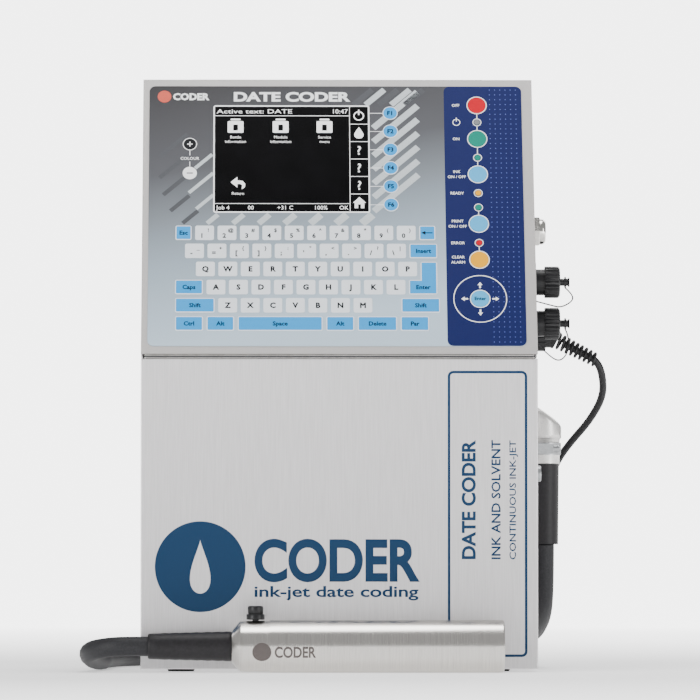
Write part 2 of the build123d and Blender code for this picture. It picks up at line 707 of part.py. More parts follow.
socket_end = CAP_START + CAP_LONG - CAP_WALL - CLEAR
ring_x = CAP_START + CAP_LONG + CAP_KNOB - RING_SET_BACK
with BuildPart() as sockets:
    with BuildSketch(right_wall):
        with Locations(UPPER_SOCKET_AT, LOWER_SOCKET_AT):
            RectangleRounded(SOCKET_FLANGE, SOCKET_FLANGE, FLANGE_CORNER)
        with Locations(CABLE_SOCKET_AT):
            RectangleRounded(CABLE_FLANGE, CABLE_FLANGE, FLANGE_CORNER)
    extrude(amount=SOCKET_PLATE)
    with BuildSketch(right_wall.offset(-SHEET - SOCKET_BEHIND)):
        with Locations(UPPER_SOCKET_AT, LOWER_SOCKET_AT):
            Circle(SOCKET_R)
    extrude(amount=SHEET + SOCKET_BEHIND + socket_end)
    with BuildSketch(right_wall.offset(socket_end)):
        with Locations(UPPER_SOCKET_AT, LOWER_SOCKET_AT):
            Circle(SOCKET_R - SOCKET_WALL)
            Circle(SOCKET_CORE_R, mode=Mode.SUBTRACT)
    extrude(amount=-SOCKET_BORE, mode=Mode.SUBTRACT)
    with BuildSketch(right_wall.offset(-SHEET - SOCKET_BEHIND)):
        with Locations(CABLE_SOCKET_AT):
            Circle(CABLE_SOCKET_R)
    extrude(amount=SHEET + SOCKET_BEHIND + NUT_END + RELIEF_STEP)
    with BuildSketch(right_wall.offset(ring_x)):
        with Locations(UPPER_SOCKET_AT, LOWER_SOCKET_AT):
            Circle(RING_R)
            Circle(CAP_KNOB_R + CLEAR, mode=Mode.SUBTRACT)
    extrude(amount=RING_THICK)
save(sockets.part, "panel_sockets")


def dust_cap(name, centre):
    """A knurled cap over a socket, with a small knob on its end."""
    with BuildPart() as cap:
        with BuildSketch(right_wall.offset(CAP_START)):
            with Locations(centre):
                Circle(CAP_R)
        extrude(amount=CAP_LONG)
        chamfer(cap.faces().sort_by(Axis.X)[-1].edges(), 1.0)
        with BuildSketch(right_wall.offset(CAP_START)):
            with Locations(centre):
                with PolarLocations(CAP_R, CAP_RIBS):
                    Circle(KNURL_R)
        extrude(amount=CAP_LONG - CAP_WALL, mode=Mode.SUBTRACT)
        with BuildSketch(right_wall.offset(CAP_START)):
            with Locations(centre):
                Circle(SOCKET_R + CLEAR)
        extrude(amount=CAP_LONG - CAP_WALL, mode=Mode.SUBTRACT)
        with BuildSketch(right_wall.offset(CAP_START + CAP_LONG)):
            with Locations(centre):
                Circle(CAP_KNOB_R)
        extrude(amount=CAP_KNOB)
        with BuildSketch(right_wall.offset(CAP_START + CAP_LONG + CAP_KNOB)):
            with Locations(centre):
                Circle(CAP_KNOB_R + CAP_KNOB_LIP)
        extrude(amount=CAP_KNOB_LIP)
    save(cap.part, name)


dust_cap("upper_dust_cap", UPPER_SOCKET_AT)
dust_cap("lower_dust_cap", LOWER_SOCKET_AT)

with BuildPart() as coupling_nut:
    with BuildSketch(right_wall.offset(NUT_START)):
        with Locations(CABLE_SOCKET_AT):
            Circle(NUT_R)
            with PolarLocations(NUT_R, NUT_RIBS):
                Circle(KNURL_R, mode=Mode.SUBTRACT)
            Circle(CABLE_SOCKET_R + CLEAR, mode=Mode.SUBTRACT)
    extrude(amount=NUT_END - NUT_START)
save(coupling_nut.part, "coupling_nut")

droop = math.radians(RELIEF_DROOP)
relief_start = Vector(half_w + NUT_END + RELIEF_STEP, CABLE_SOCKET_AT[0], CABLE_SOCKET_AT[1])
relief_dir = Vector(math.cos(droop), 0, -math.sin(droop))
relief_end = relief_start + relief_dir * RELIEF_LONG
relief_plane = Plane(origin=relief_start, z_dir=relief_dir)
with BuildPart() as strain_relief:
    with BuildSketch(relief_plane.offset(RELIEF_COLLAR_END - CLEAR)):
        Circle(RELIEF_R)
    with BuildSketch(relief_plane.offset(RELIEF_LONG)):
        Circle(RELIEF_TIP_R)
    loft()
    with BuildSketch(Plane.YZ.offset(relief_start.X)):
        with Locations(CABLE_SOCKET_AT):
            Circle(RELIEF_COLLAR_R)
    with BuildSketch(relief_plane.offset(RELIEF_COLLAR_END)):
        Circle(RELIEF_R)
    loft()
save(strain_relief.part, "cable_strain_relief")

# Elbow, band and sleeve of the hose
elbow_x = half_w + ELBOW_OUT
elbow_y = ELBOW_AT[0]
elbow_body_z = BAND_Z + BAND_H + BAND_GAP
with BuildPart() as elbow:
    with BuildSketch(Plane.XY.offset(ELBOW_FOOT_Z)):
        with Locations((elbow_x, elbow_y)):
            Circle(ELBOW_R - ELBOW_BORE_STEP)
    extrude(amount=ELBOW_TOP_Z - ELBOW_FOOT_Z)
    with BuildSketch(Plane.XY.offset(elbow_body_z)):
        with Locations((elbow_x, elbow_y)):
            Circle(ELBOW_R)
    extrude(amount=ELBOW_TOP_Z - elbow_body_z)
    slope = math.radians(ELBOW_SLOPE)
    top_cut = Plane(
        origin=(elbow_x, elbow_y, ELBOW_TOP_Z - ELBOW_R * math.tan(slope)),
        x_dir=(math.cos(slope), 0, -math.sin(slope)),
        z_dir=(math.sin(slope), 0, math.cos(slope)),
    )
    split(bisect_by=top_cut, keep=Keep.BOTTOM)
    with BuildSketch(right_wall.offset(-SHEET - ELBOW_THREAD_R)):
        with Locations(ELBOW_AT):
            Circle(ELBOW_THREAD_R)
    extrude(amount=ELBOW_OUT + SHEET + ELBOW_THREAD_R)
    with BuildSketch(right_wall):
        with Locations(ELBOW_AT):
            Circle(ELBOW_FLANGE_R)
    extrude(amount=SOCKET_PLATE)
save(elbow.part, "hose_elbow")

with BuildPart() as band:
    with BuildSketch(Plane.XY.offset(BAND_Z)):
        with Locations((elbow_x, elbow_y)):
            Circle(ELBOW_R - CLEAR)
            Circle(ELBOW_R - ELBOW_BORE_STEP, mode=Mode.SUBTRACT)
    extrude(amount=BAND_H)
    lug_y = elbow_y - ELBOW_R - BAND_LUG_AT
    with BuildSketch(Plane.XY.offset(BAND_Z + BAND_H / 2)):
        with Locations((elbow_x, lug_y)):
            Rectangle(BAND_LUG_W, BAND_LUG_D)
    extrude(amount=0.4 * BAND_H, both=True)
    with BuildSketch(Plane.YZ.offset(elbow_x + BAND_LUG_W / 2)):
        with Locations((lug_y, BAND_Z + BAND_H / 2)):
            Circle(BAND_SCREW_R)
    extrude(amount=BAND_SCREW_LONG)
save(band.part, "hose_clamp")

with BuildPart() as sleeve:
    with BuildSketch(Plane.XY.offset(ELBOW_FOOT_Z)):
        with Locations((elbow_x, elbow_y)):
            Circle(SLEEVE_R)
    extrude(amount=-SLEEVE_LONG, taper=SLEEVE_TAPER)
save(sleeve.part, "hose_sleeve_cabinet")

sleeve_end_z = ELBOW_FOOT_Z - SLEEVE_LONG
hose_low_z = HOSE_D / 2 + LIE_GAP
hose_high_z = hose_low_z + HOSE_TURNS * HOSE_LAY
cord_tube(
    "hose_cabinet_run",
    [
        (elbow_x, elbow_y, sleeve_end_z),
        (elbow_x, 55, 78),
        (elbow_x, 70, 55),
        (half_w + 13, 95, 42),
        (half_w + 11, 128, 34),
        (half_w + 7, 172, 27),
        (half_w - 2, 222, 26),
        (half_w - 19, 274, 30),
        (107, 318, 39),
        (58, 342, 49),
        (6, 348, 56),
        (HOSE_COIL_AT[0], HOSE_COIL_AT[1] + HOSE_COIL_R, hose_high_z),
    ],
    HOSE_D,
)
coil_ring("hose_coil", HOSE_COIL_AT, HOSE_COIL_R, HOSE_D, HOSE_TURNS, HOSE_LAY)
cord_tube(
    "hose_head_run",
    [
        (HEAD_SLEEVE_X - HOSE_STUB - HOSE_END_GAP, HEAD_Y, HEAD_R),
        (-181, -168.2, 20.7),
        (-193.5, -160.5, 18.9),
        (-200.5, -145, 16.4),
        (-201.5, -125, 13.9),
        (-200, -98, 11.1),
        (-197, -66, 8.8),
        (-192, -24, 8.2),
        (-194, 30, 8.3),
        (-189, 84, 8.2),
        (-183, 136, 8.3),
        (-167, 184, 8.2),
        (-154, 219, 8.3),
        (HOSE_COIL_AT[0] - HOSE_COIL_R, HOSE_COIL_AT[1], hose_low_z),
    ],
    HOSE_D,
)

cable_low_z = CABLE_D / 2 + LIE_GAP
cable_high_z = cable_low_z + CABLE_TURNS * CABLE_LAY
cord_tube(
    "cable_run",
    [
        tuple(relief_end),
        (half_w + 61, 20, 243),
        (half_w + 62, 32, 226),
        (half_w + 51, 47, 206),
        (half_w + 37, 61, 190),
        (half_w + 25, 76, 173),
        (half_w + 16, 90, 149),
        (half_w + 12, 102, 120),
        (half_w + 10, 114, 88),
        (half_w + 7, 137, 60),
        (151, 150, 36),
        (131, 155, 16),
        (110, 155, 5),
        (CABLE_COIL_AT[0], CABLE_COIL_AT[1] - CABLE_COIL_R, cable_low_z),
    ],
    CABLE_D,
)
coil_ring("cable_coil", CABLE_COIL_AT, CABLE_COIL_R, CABLE_D, CABLE_TURNS, CABLE_LAY)
plug_back = (66.0, 262.0, 18.0)
cord_tube(
    "cable_tail",
    [
        (CABLE_COIL_AT[0] - CABLE_COIL_R, CABLE_COIL_AT[1], cable_high_z),
        (56, 212, 39),
        (60, 234, 27),
        plug_back,
    ],
    CABLE_D,
)
plug_axis = Plane(origin=plug_back, x_dir=(-1, 0, 0), z_dir=(0, 1, 0))
with BuildPart() as mains_plug:
    with BuildSketch(plug_axis):
        RectangleRounded(PLUG_NECK_W, PLUG_NECK_H, PLUG_CORNER)
    with BuildSketch(plug_axis.offset(PLUG_GRIP)):
        RectangleRounded(PLUG_FACE_W, PLUG_FACE_H, PLUG_CORNER)
    loft()
    with BuildSketch(plug_axis.offset(PLUG_GRIP)):
        RectangleRounded(PLUG_FACE_W, PLUG_FACE_H, PLUG_CORNER)
    extrude(amount=PLUG_FACE)
    with BuildSketch(plug_axis.offset(PLUG_GRIP + PLUG_FACE)):
        with GridLocations(PIN_PITCH, 0, 2, 1):
            Circle(PIN_R)
    extrude(amount=PIN_LONG)
save(mains_plug.part, "mains_plug")

ring_out = half_w + ring_x + RING_THICK / 2
for name, centre, reach, drop in (
    ("upper_tether", UPPER_SOCKET_AT, 9, 20),
    ("lower_tether", LOWER_SOCKET_AT, 4, 32),
):
    y, z = centre
    low = z - RING_R
    cord_tube(
        name,
        [
            (ring_out, y, low),
            (ring_out + reach * 0.6, y - 3, low - 5),
            (ring_out + reach * 0.7, y - 8, low - drop * 0.55),
            (ring_out - 4, y - 13, low - drop * 0.85),
            (ring_out - 13, y - 17, low - drop * 0.75),
            (half_w + SOCKET_PLATE, y - 18.5, low - 12),
        ],
        TETHER_D,
    )

# ---------------------------------------------------------------- print head
head_axis = Plane(origin=(0, HEAD_Y, HEAD_R), x_dir=(0, 1, 0), z_dir=(1, 0, 0))
bore_r = HEAD_R - HEAD_WALL
with BuildPart() as head_cover:
    with BuildSketch(head_axis.offset(HEAD_REAR_X)):
        Circle(HEAD_R - HEAD_STEP)
    extrude(amount=HEAD_CLAMP_X - HEAD_REAR_X)
    with BuildSketch(head_axis.offset(HEAD_CLAMP_X)):
        Circle(HEAD_R)
    extrude(amount=HEAD_FRONT_X - HEAD_CLAMP_X)
    chamfer(head_cover.faces().sort_by(Axis.X)[-1].edges(), 1.0)
    with BuildSketch(head_axis.offset(HEAD_REAR_X)):
        Circle(bore_r)
    extrude(amount=HEAD_FRONT_X - HEAD_REAR_X - HEAD_NOSE, mode=Mode.SUBTRACT)
    with BuildSketch(head_axis.offset(HEAD_FRONT_X)):
        SlotOverall(JET_SLOT_LONG, JET_SLOT_W)
    extrude(amount=-HEAD_NOSE - HEAD_WALL, mode=Mode.SUBTRACT)
    with BuildSketch(Plane.XY.offset(HEAD_R + bore_r - HEAD_WALL)):
        with Locations((HEAD_REAR_X - 1, HEAD_Y)):
            Rectangle(
                KNOB_X - HEAD_REAR_X + 1, 2 * (SCREW_R + CLEAR), align=(Align.MIN, Align.CENTER)
            )
        with Locations((KNOB_X, HEAD_Y)):
            Circle(SCREW_R + CLEAR)
    extrude(amount=HEAD_R, mode=Mode.SUBTRACT)
save(head_cover.part, "head_cover_tube")

with BuildPart() as head_tail:
    with BuildSketch(head_axis.offset(HEAD_TAIL_X)):
        Circle(HEAD_TAIL_R)
    with BuildSketch(head_axis.offset(HEAD_REAR_X - CLEAR)):
        Circle(HEAD_R)
    loft()
    with BuildSketch(head_axis.offset(HEAD_REAR_X - CLEAR)):
        Circle(bore_r - CLEAR)
    extrude(amount=HEAD_SPIGOT)
    with BuildSketch(Plane.XY.offset(HEAD_R)):
        with Locations((KNOB_X, HEAD_Y)):
            Circle(SCREW_R + RUNNING)
    extrude(amount=HEAD_R, mode=Mode.SUBTRACT)
save(head_tail.part, "head_tail_housing")

with BuildPart() as head_knob:
    with BuildSketch(Plane.XY.offset(2 * HEAD_R + CLEAR)):
        with Locations((KNOB_X, HEAD_Y)):
            Circle(SCREW_R)
    extrude(amount=-SCREW_LONG)
    with BuildSketch(Plane.XY.offset(2 * HEAD_R + CLEAR)):
        with Locations((KNOB_X, HEAD_Y)):
            Circle(KNOB_R)
    extrude(amount=KNOB_COLLAR)
    with BuildSketch(Plane.XY.offset(2 * HEAD_R + CLEAR + KNOB_COLLAR)):
        with Locations((KNOB_X, HEAD_Y)):
            Circle(KNOB_CAP_R)
    extrude(amount=KNOB_CAP)
    fillet(head_knob.faces().sort_by(Axis.Z)[-1].edges(), 0.9)
save(head_knob.part, "head_thumb_screw")

spigot_end = HEAD_REAR_X - CLEAR + HEAD_SPIGOT
with BuildPart() as head_sleeve:
    with BuildSketch(head_axis.offset(HEAD_TAIL_X)):
        Circle(SLEEVE_R)
    with BuildSketch(head_axis.offset(HEAD_SLEEVE_X)):
        Circle(HEAD_SLEEVE_TIP_R)
    loft()
    with BuildSketch(head_axis.offset(HEAD_SLEEVE_X)):
        Circle(HOSE_D / 2)
    extrude(amount=-HOSE_STUB)
save(head_sleeve.part, "hose_sleeve_head")

with BuildPart() as chassis:
    with BuildSketch(head_axis.offset(spigot_end)):
        with Locations((0, CHASSIS_LOW)):
            Rectangle(CHASSIS_W, CHASSIS_H)
    extrude(amount=CHASSIS_LONG)
save(chassis.part, "head_chassis")

with BuildPart() as drop_generator:
    with BuildSketch(head_axis.offset(spigot_end + NOZZLE_BODY_START)):
        RectangleRounded(NOZZLE_BODY_W, NOZZLE_BODY_H, 2)
    extrude(amount=NOZZLE_BODY_END - NOZZLE_BODY_START)
    with BuildSketch(head_axis.offset(spigot_end + NOZZLE_BODY_END)):
        Circle(NOZZLE_R)
    extrude(amount=NOZZLE_LONG)
save(drop_generator.part, "drop_generator")

with BuildPart() as electrodes:
    chassis_top = CHASSIS_LOW + CHASSIS_H / 2
    for start, long, gap, thick in (
        (CHARGE_START, CHARGE_LONG, CHARGE_GAP, 4.0),
        (PLATE_START, PLATE_LONG, PLATE_GAP, 2.0),
    ):
        with BuildSketch(head_axis.offset(spigot_end + start)):
            for side in (-1, 1):
                with Locations((side * (gap + thick) / 2, chassis_top)):
                    Rectangle(thick, ELECTRODE_H, align=(Align.CENTER, Align.MIN))
        extrude(amount=long)
    with BuildSketch(head_axis.offset(spigot_end + CATCHER_START)):
        with Locations((0, chassis_top)):
            Rectangle(CATCHER_W, -chassis_top, align=(Align.CENTER, Align.MIN))
    extrude(amount=CATCHER_LONG)
save(electrodes.part, "head_electrodes")

# ---------------------------------------------------------------- bottle bay
tray_z = FLOOR_Z + SHEET + FOOT_HEAD + TRAY_LIFT
bottle_z = tray_z + TRAY_FLOOR
tray_mid = sum(BOTTLE_XS) / 2
with BuildPart() as bottle_tray:
    with BuildSketch(Plane.XY.offset(tray_z)):
        with Locations((tray_mid, BOTTLE_Y)):
            Rectangle(
                BOTTLE_XS[1] - BOTTLE_XS[0] + BOTTLE_W + 2 * TRAY_WALL, BOTTLE_D + 2 * TRAY_WALL
            )
    extrude(amount=TRAY_RIM)
    with BuildSketch(Plane.XY.offset(bottle_z)):
        for bottle_x in BOTTLE_XS:
            with Locations((bottle_x, BOTTLE_Y)):
                Rectangle(BOTTLE_W + 2 * TRAY_PLAY, BOTTLE_D + 2 * TRAY_PLAY)
    extrude(amount=TRAY_RIM, mode=Mode.SUBTRACT)
save(bottle_tray.part, "bottle_tray")

neck_z = bottle_z + BOTTLE_H
for fluid, bottle_x in zip(("ink", "solvent"), BOTTLE_XS):
    with BuildPart() as bottle:
        with BuildSketch(Plane.XY.offset(bottle_z)):
            with Locations((bottle_x, BOTTLE_Y)):
                RectangleRounded(BOTTLE_W, BOTTLE_D, BOTTLE_CORNER)
        extrude(amount=BOTTLE_H)
        fillet(bottle.faces().sort_by(Axis.Z)[-1].edges(), BOTTLE_SHOULDER)
        with BuildSketch(Plane.XY.offset(neck_z)):
            with Locations((bottle_x, BOTTLE_Y)):
                Circle(NECK_R)
        extrude(amount=NECK_H)
    save(bottle.part, f"{fluid}_bottle")
    with BuildPart() as cap:
        with BuildSketch(Plane.XY.offset(neck_z + CLEAR)):
            with Locations((bottle_x, BOTTLE_Y)):
                Circle(BOTTLE_CAP_R)
        extrude(amount=BOTTLE_CAP_H)
        with BuildSketch(Plane.XY.offset(neck_z + CLEAR)):
            with Locations((bottle_x, BOTTLE_Y)):
                with PolarLocations(BOTTLE_CAP_R, BOTTLE_CAP_RIBS):
                    Circle(KNURL_R)
        extrude(amount=BOTTLE_CAP_H - BOTTLE_CAP_ROOF, mode=Mode.SUBTRACT)
        with BuildSketch(Plane.XY.offset(neck_z + CLEAR)):
            with Locations((bottle_x, BOTTLE_Y)):
                Circle(NECK_R + CLEAR)
        extrude(amount=NECK_H, mode=Mode.SUBTRACT)
    save(cap.part, f"{fluid}_bottle_cap")

# ---------------------------------------------------------------- fluid system
with BuildPart() as equipment_frame:
    with BuildSketch(Plane.XZ.offset(-PLATE_Y)):
        with Locations((0, tray_z)):
            Rectangle(
                2 * inner_x - PLATE_EDGE, SHELF_Z - tray_z, align=(Align.CENTER, Align.MIN)
            )
    extrude(amount=-PLATE_THICK)
    with BuildSketch(Plane.XY.offset(SHELF_Z)):
        with Locations((0, body_front + SHELF_FRONT_GAP)):
            Rectangle(
                2 * inner_x,
                rear_y - SHEET - SHELF_REAR_GAP - body_front - SHELF_FRONT_GAP,
                align=(Align.CENTER, Align.MIN),
            )
    extrude(amount=SHEET)
save(equipment_frame.part, "equipment_frame")

with BuildPart() as manifold:
    with BuildSketch(Plane.XZ.offset(-PLATE_Y)):
        with Locations(MANIFOLD_AT):
            Rectangle(MANIFOLD_W, MANIFOLD_H)
    extrude(amount=MANIFOLD_D)
    with BuildSketch(Plane.XZ.offset(-PLATE_Y + MANIFOLD_D)):
        with Locations(MANIFOLD_AT):
            with GridLocations(VALVE_PITCH, 0, 4, 1):
                RectangleRounded(VALVE_W, VALVE_H, 2)
    extrude(amount=VALVE_D)
save(manifold.part, "ink_manifold")

with BuildPart() as ink_filter:
    with BuildSketch(Plane.XY.offset(tray_z + FILTER_LIFT)):
        with Locations(FILTER_AT):
            Circle(FILTER_R)
    extrude(amount=FILTER_H)
    chamfer(ink_filter.edges().filter_by(GeomType.CIRCLE), 3)
    with BuildSketch(Plane.XZ.offset(-PLATE_Y)):
        with Locations((FILTER_AT[0], tray_z + FILTER_LIFT + FILTER_H / 2)):
            Rectangle(FILTER_ARM_W, FILTER_ARM_H)
    extrude(amount=FILTER_ARM_D)
save(ink_filter.part, "ink_filter")

with BuildPart() as pump:
    with BuildSketch(Plane.XZ.offset(-PLATE_Y)):
        with Locations(PUMP_AT):
            RectangleRounded(PUMP_W, PUMP_W, 5)
    extrude(amount=PUMP_HEAD)
    with BuildSketch(Plane.XZ.offset(-PLATE_Y + PUMP_HEAD)):
        with Locations(PUMP_AT):
            Circle(PUMP_MOTOR_R)
    extrude(amount=PUMP_MOTOR)
save(pump.part, "ink_pump")

with BuildPart() as reservoir:
    with BuildSketch(Plane.XY.offset(tray_z)):
        with Locations(TANK_AT):
            RectangleRounded(TANK_W, TANK_D, TANK_CORNER)
    extrude(amount=TANK_H)
save(reservoir.part, "mixer_tank")

# ---------------------------------------------------------------- electronics
shelf_top = SHELF_Z + SHEET
with BuildPart() as power_supply:
    with BuildSketch(Plane.XY.offset(shelf_top)):
        with Locations(SUPPLY_AT):
            Rectangle(SUPPLY_W, SUPPLY_D)
    extrude(amount=SUPPLY_H)
save(power_supply.part, "power_supply")

with BuildPart() as main_board:
    with BuildSketch(Plane.XY.offset(shelf_top + MAIN_POST_H)):
        with Locations(MAIN_BOARD_AT):
            Rectangle(MAIN_BOARD_W, MAIN_BOARD_D)
    extrude(amount=BOARD)
    with BuildSketch(Plane.XY.offset(shelf_top + MAIN_POST_H + BOARD)):
        with Locations(*CHIPS_AT):
            Rectangle(CHIP_W, CHIP_W)
    extrude(amount=CHIP_H)
    with BuildSketch(Plane.XY.offset(shelf_top)):
        with Locations(MAIN_BOARD_AT):
            with GridLocations(
                MAIN_BOARD_W - 2 * MAIN_POST_IN, MAIN_BOARD_D - 2 * MAIN_POST_IN, 2, 2
            ):
                Circle(MAIN_POST_R)
    extrude(amount=MAIN_POST_H)
save(main_board.part, "main_board")

with BuildPart() as fan_frame:
    with BuildSketch(Plane.XZ.offset(-rear_y)):
        with Locations(FAN_AT):
            RectangleRounded(FAN_SIZE, FAN_SIZE, 5)
            Circle(FAN_BORE_R, mode=Mode.SUBTRACT)
    extrude(amount=FAN_DEPTH)
    with BuildSketch(Plane.XZ.offset(-rear_y + FAN_DEPTH)):
        with Locations(FAN_AT):
            Circle(FAN_HUB_R)
            for spoke_turn in (0, 90):
                Rectangle(FAN_SIZE - FAN_SPOKE, FAN_SPOKE, rotation=spoke_turn)
    extrude(amount=-PLATE_THICK)
    with BuildSketch(Plane.XZ.offset(-rear_y + FAN_DEPTH)):
        with Locations(FAN_AT):
            Circle(FAN_SHAFT_R)
    extrude(amount=-FAN_DEPTH + FAN_SPOKE)
save(fan_frame.part, "fan_frame")

with BuildPart() as fan_rotor:
    with BuildSketch(Plane.XZ.offset(-rear_y + FAN_DEPTH - FAN_SPOKE)):
        with Locations(FAN_AT):
            Circle(FAN_HUB_R)
            with PolarLocations((FAN_HUB_R + FAN_BORE_R) / 2 - FAN_PLAY, FAN_BLADES):
                Rectangle(FAN_BORE_R - FAN_HUB_R, FAN_BLADE_W)
            Circle(FAN_SHAFT_R + RUNNING, mode=Mode.SUBTRACT)
    extrude(amount=-FAN_ROTOR_DEPTH)
save(fan_rotor.part, "fan_rotor")
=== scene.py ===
# %% [markdown]
# # A date code inkjet printer
# A stainless cabinet with a leaning keypad console, a hose and a cylindrical print head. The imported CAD
# model is the frame: every piece below is made in its own place in that frame, in metres, and rides on
# one of its bodies. Sizes are written in millimetres and turned to metres by one helper.

# %% Load the frame
import json
import math

import bpy
from mathutils import Matrix, Vector


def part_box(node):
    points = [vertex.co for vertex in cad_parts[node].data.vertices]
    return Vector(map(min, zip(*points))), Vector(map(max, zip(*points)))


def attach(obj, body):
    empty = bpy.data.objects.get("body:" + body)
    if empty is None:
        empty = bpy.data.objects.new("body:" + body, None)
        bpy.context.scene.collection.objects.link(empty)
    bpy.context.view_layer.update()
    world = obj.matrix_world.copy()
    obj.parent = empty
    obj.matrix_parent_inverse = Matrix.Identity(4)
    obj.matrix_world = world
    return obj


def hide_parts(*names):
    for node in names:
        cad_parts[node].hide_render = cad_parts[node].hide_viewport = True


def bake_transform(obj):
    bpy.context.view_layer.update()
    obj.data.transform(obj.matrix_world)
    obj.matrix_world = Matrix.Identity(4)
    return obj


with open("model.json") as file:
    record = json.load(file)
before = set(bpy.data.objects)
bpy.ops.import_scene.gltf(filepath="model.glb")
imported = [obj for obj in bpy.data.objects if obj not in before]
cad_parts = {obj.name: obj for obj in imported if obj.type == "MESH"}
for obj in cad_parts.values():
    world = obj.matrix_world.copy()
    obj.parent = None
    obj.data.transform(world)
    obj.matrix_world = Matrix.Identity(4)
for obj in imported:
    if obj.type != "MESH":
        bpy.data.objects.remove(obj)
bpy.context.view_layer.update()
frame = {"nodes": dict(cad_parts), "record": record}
nodes = frame["nodes"]
MM = 0.001


# %% [markdown]
# ## Small helpers
# Operators act on whatever is selected, so each step first selects one object alone. A finished piece is
# named, its place is moved into its mesh, and it is given a finish, a body and the CAD nodes it stands for.


# %% Select, settle, modify and join
def only(obj):
    """Select this object alone and make it active."""
    bpy.ops.object.select_all(action="DESELECT")
    obj.select_set(True)
    bpy.context.view_layer.objects.active = obj


def metres(points):
    """Millimetre points as vectors in metres."""
    return [Vector(point) * MM for point in points]


def settle(obj, name, body, finish, place=None, replaced=()):
    """Move a piece's place into its mesh, name it, and give it a finish and a body."""
    only(obj)
    if place is not None:
        obj.matrix_world = place @ obj.matrix_world
    bpy.ops.object.transform_apply(location=True, rotation=True, scale=True)
    obj.name = name
    obj.data.name = name
    obj.data.materials.clear()
    obj.data.materials.append(finish)
    if body is not None:
        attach(obj, body)
    if replaced:
        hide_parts(*replaced)
    return obj


def apply_modifier(obj, kind, **settings):
    """Add one modifier, set it and apply it."""
    only(obj)
    modifier = obj.modifiers.new(kind.title(), kind)
    for key, value in settings.items():
        setattr(modifier, key, value)
    bpy.ops.object.modifier_apply(modifier=modifier.name)


def join(parts):
    """Join several meshes into the first."""
    bpy.ops.object.select_all(action="DESELECT")
    for part in parts:
        part.select_set(True)
    bpy.context.view_layer.objects.active = parts[0]
    bpy.ops.object.join()
    return parts[0]


# %% [markdown]
# ## Camera, light and floor
# The camera stands five metres away, a little left of the middle and low, with a long lens, so upright
# edges stay nearly parallel. Soft light comes from all round, and four large panels shape the steel. The
# floor glows more the farther it is, so that it runs into the backdrop without an edge.

# %% Camera
door_low, door_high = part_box("front_door")
front_y = door_low[1]
CAMERA_BACK = 5.0
CAMERA_X, CAMERA_Z = -0.072, 0.080
AIM_X, AIM_Z = 0.0085, 0.2591
SENSOR_W = 36
LENS = 319.4
camera_data = bpy.data.cameras.new("camera")
camera_data.sensor_width = SENSOR_W
camera_data.lens = LENS
camera = bpy.data.objects.new("camera", camera_data)
bpy.context.scene.collection.objects.link(camera)
camera.location = (CAMERA_X, front_y - CAMERA_BACK, CAMERA_Z)
aim = Vector((AIM_X, front_y, AIM_Z)) - camera.location
camera.rotation_euler = aim.to_track_quat("-Z", "Y").to_euler()
bpy.context.scene.camera = camera

# %% Studio light and floor
world = bpy.data.worlds.new("studio")
bpy.context.scene.world = world
world.use_nodes = True
sky = world.node_tree
room = sky.nodes["Background"]
room.inputs["Color"].default_value = (0.96, 0.965, 0.97, 1)
room.inputs["Strength"].default_value = 0.5
backdrop = sky.nodes.new("ShaderNodeBackground")
backdrop.inputs["Color"].default_value = (1, 1, 1, 1)
backdrop.inputs["Strength"].default_value = 5.0
ray = sky.nodes.new("ShaderNodeLightPath")
either = sky.nodes.new("ShaderNodeMixShader")
sky.links.new(ray.outputs["Is Camera Ray"], either.inputs["Fac"])
sky.links.new(room.outputs["Background"], either.inputs[1])
sky.links.new(backdrop.outputs["Background"], either.inputs[2])
sky.links.new(either.outputs["Shader"], sky.nodes["World Output"].inputs["Surface"])


def panel_light(name, place, target, width, height, watts):
    """A large soft panel that faces a point."""
    data = bpy.data.lights.new(name, "AREA")
    data.shape = "RECTANGLE"
    data.size = width
    data.size_y = height
    data.energy = watts
    lamp = bpy.data.objects.new(name, data)
    bpy.context.scene.collection.objects.link(lamp)
    lamp.location = place
    lamp.rotation_euler = (Vector(target) - Vector(place)).to_track_quat("-Z", "Y").to_euler()


panel_light("key_panel", (-2.3, -2.3, 0.9), (0, 0, 0.25), 1.0, 1.6, 62)
panel_light("fill_panel", (2.0, -1.8, 0.7), (0, 0, 0.2), 0.8, 1.4, 26)
panel_light("top_panel", (0.1, -0.15, 2.0), (0, -0.1, 0.2), 1.6, 0.5, 22)
panel_light("rear_panel", (0.8, 2.2, 1.6), (0, 0, 0.2), 1.6, 1.2, 30)

bpy.ops.object.select_all(action="DESELECT")
FLOOR_M = 40
bpy.ops.mesh.primitive_plane_add(size=FLOOR_M)
floor = bpy.context.object
floor.name = "studio_floor"
floor_paint = bpy.data.materials.new("pale_studio_paint")
floor_paint.use_nodes = True
paint = floor_paint.node_tree.nodes["Principled BSDF"]
paint.inputs["Base Color"].default_value = (0.9, 0.9, 0.9, 1)
paint.inputs["Roughness"].default_value = 0.7
paint.inputs["Emission Color"].default_value = (1, 1, 1, 1)
floor_tree = floor_paint.node_tree
floor_place = floor_tree.nodes.new("ShaderNodeTexCoord")
reach = floor_tree.nodes.new("ShaderNodeVectorMath")
reach.operation = "LENGTH"
fade = floor_tree.nodes.new("ShaderNodeMapRange")
NEAR_M, FAR_M = 0.5, 4.0
NEAR_GLOW, FAR_GLOW = 0.6, 4.6
fade.inputs["From Min"].default_value = NEAR_M
fade.inputs["From Max"].default_value = FAR_M
fade.inputs["To Min"].default_value = NEAR_GLOW
fade.inputs["To Max"].default_value = FAR_GLOW
floor_tree.links.new(floor_place.outputs["Object"], reach.inputs[0])
floor_tree.links.new(reach.outputs["Value"], fade.inputs["Value"])
floor_tree.links.new(fade.outputs["Result"], paint.inputs["Emission Strength"])
floor.data.materials.append(floor_paint)

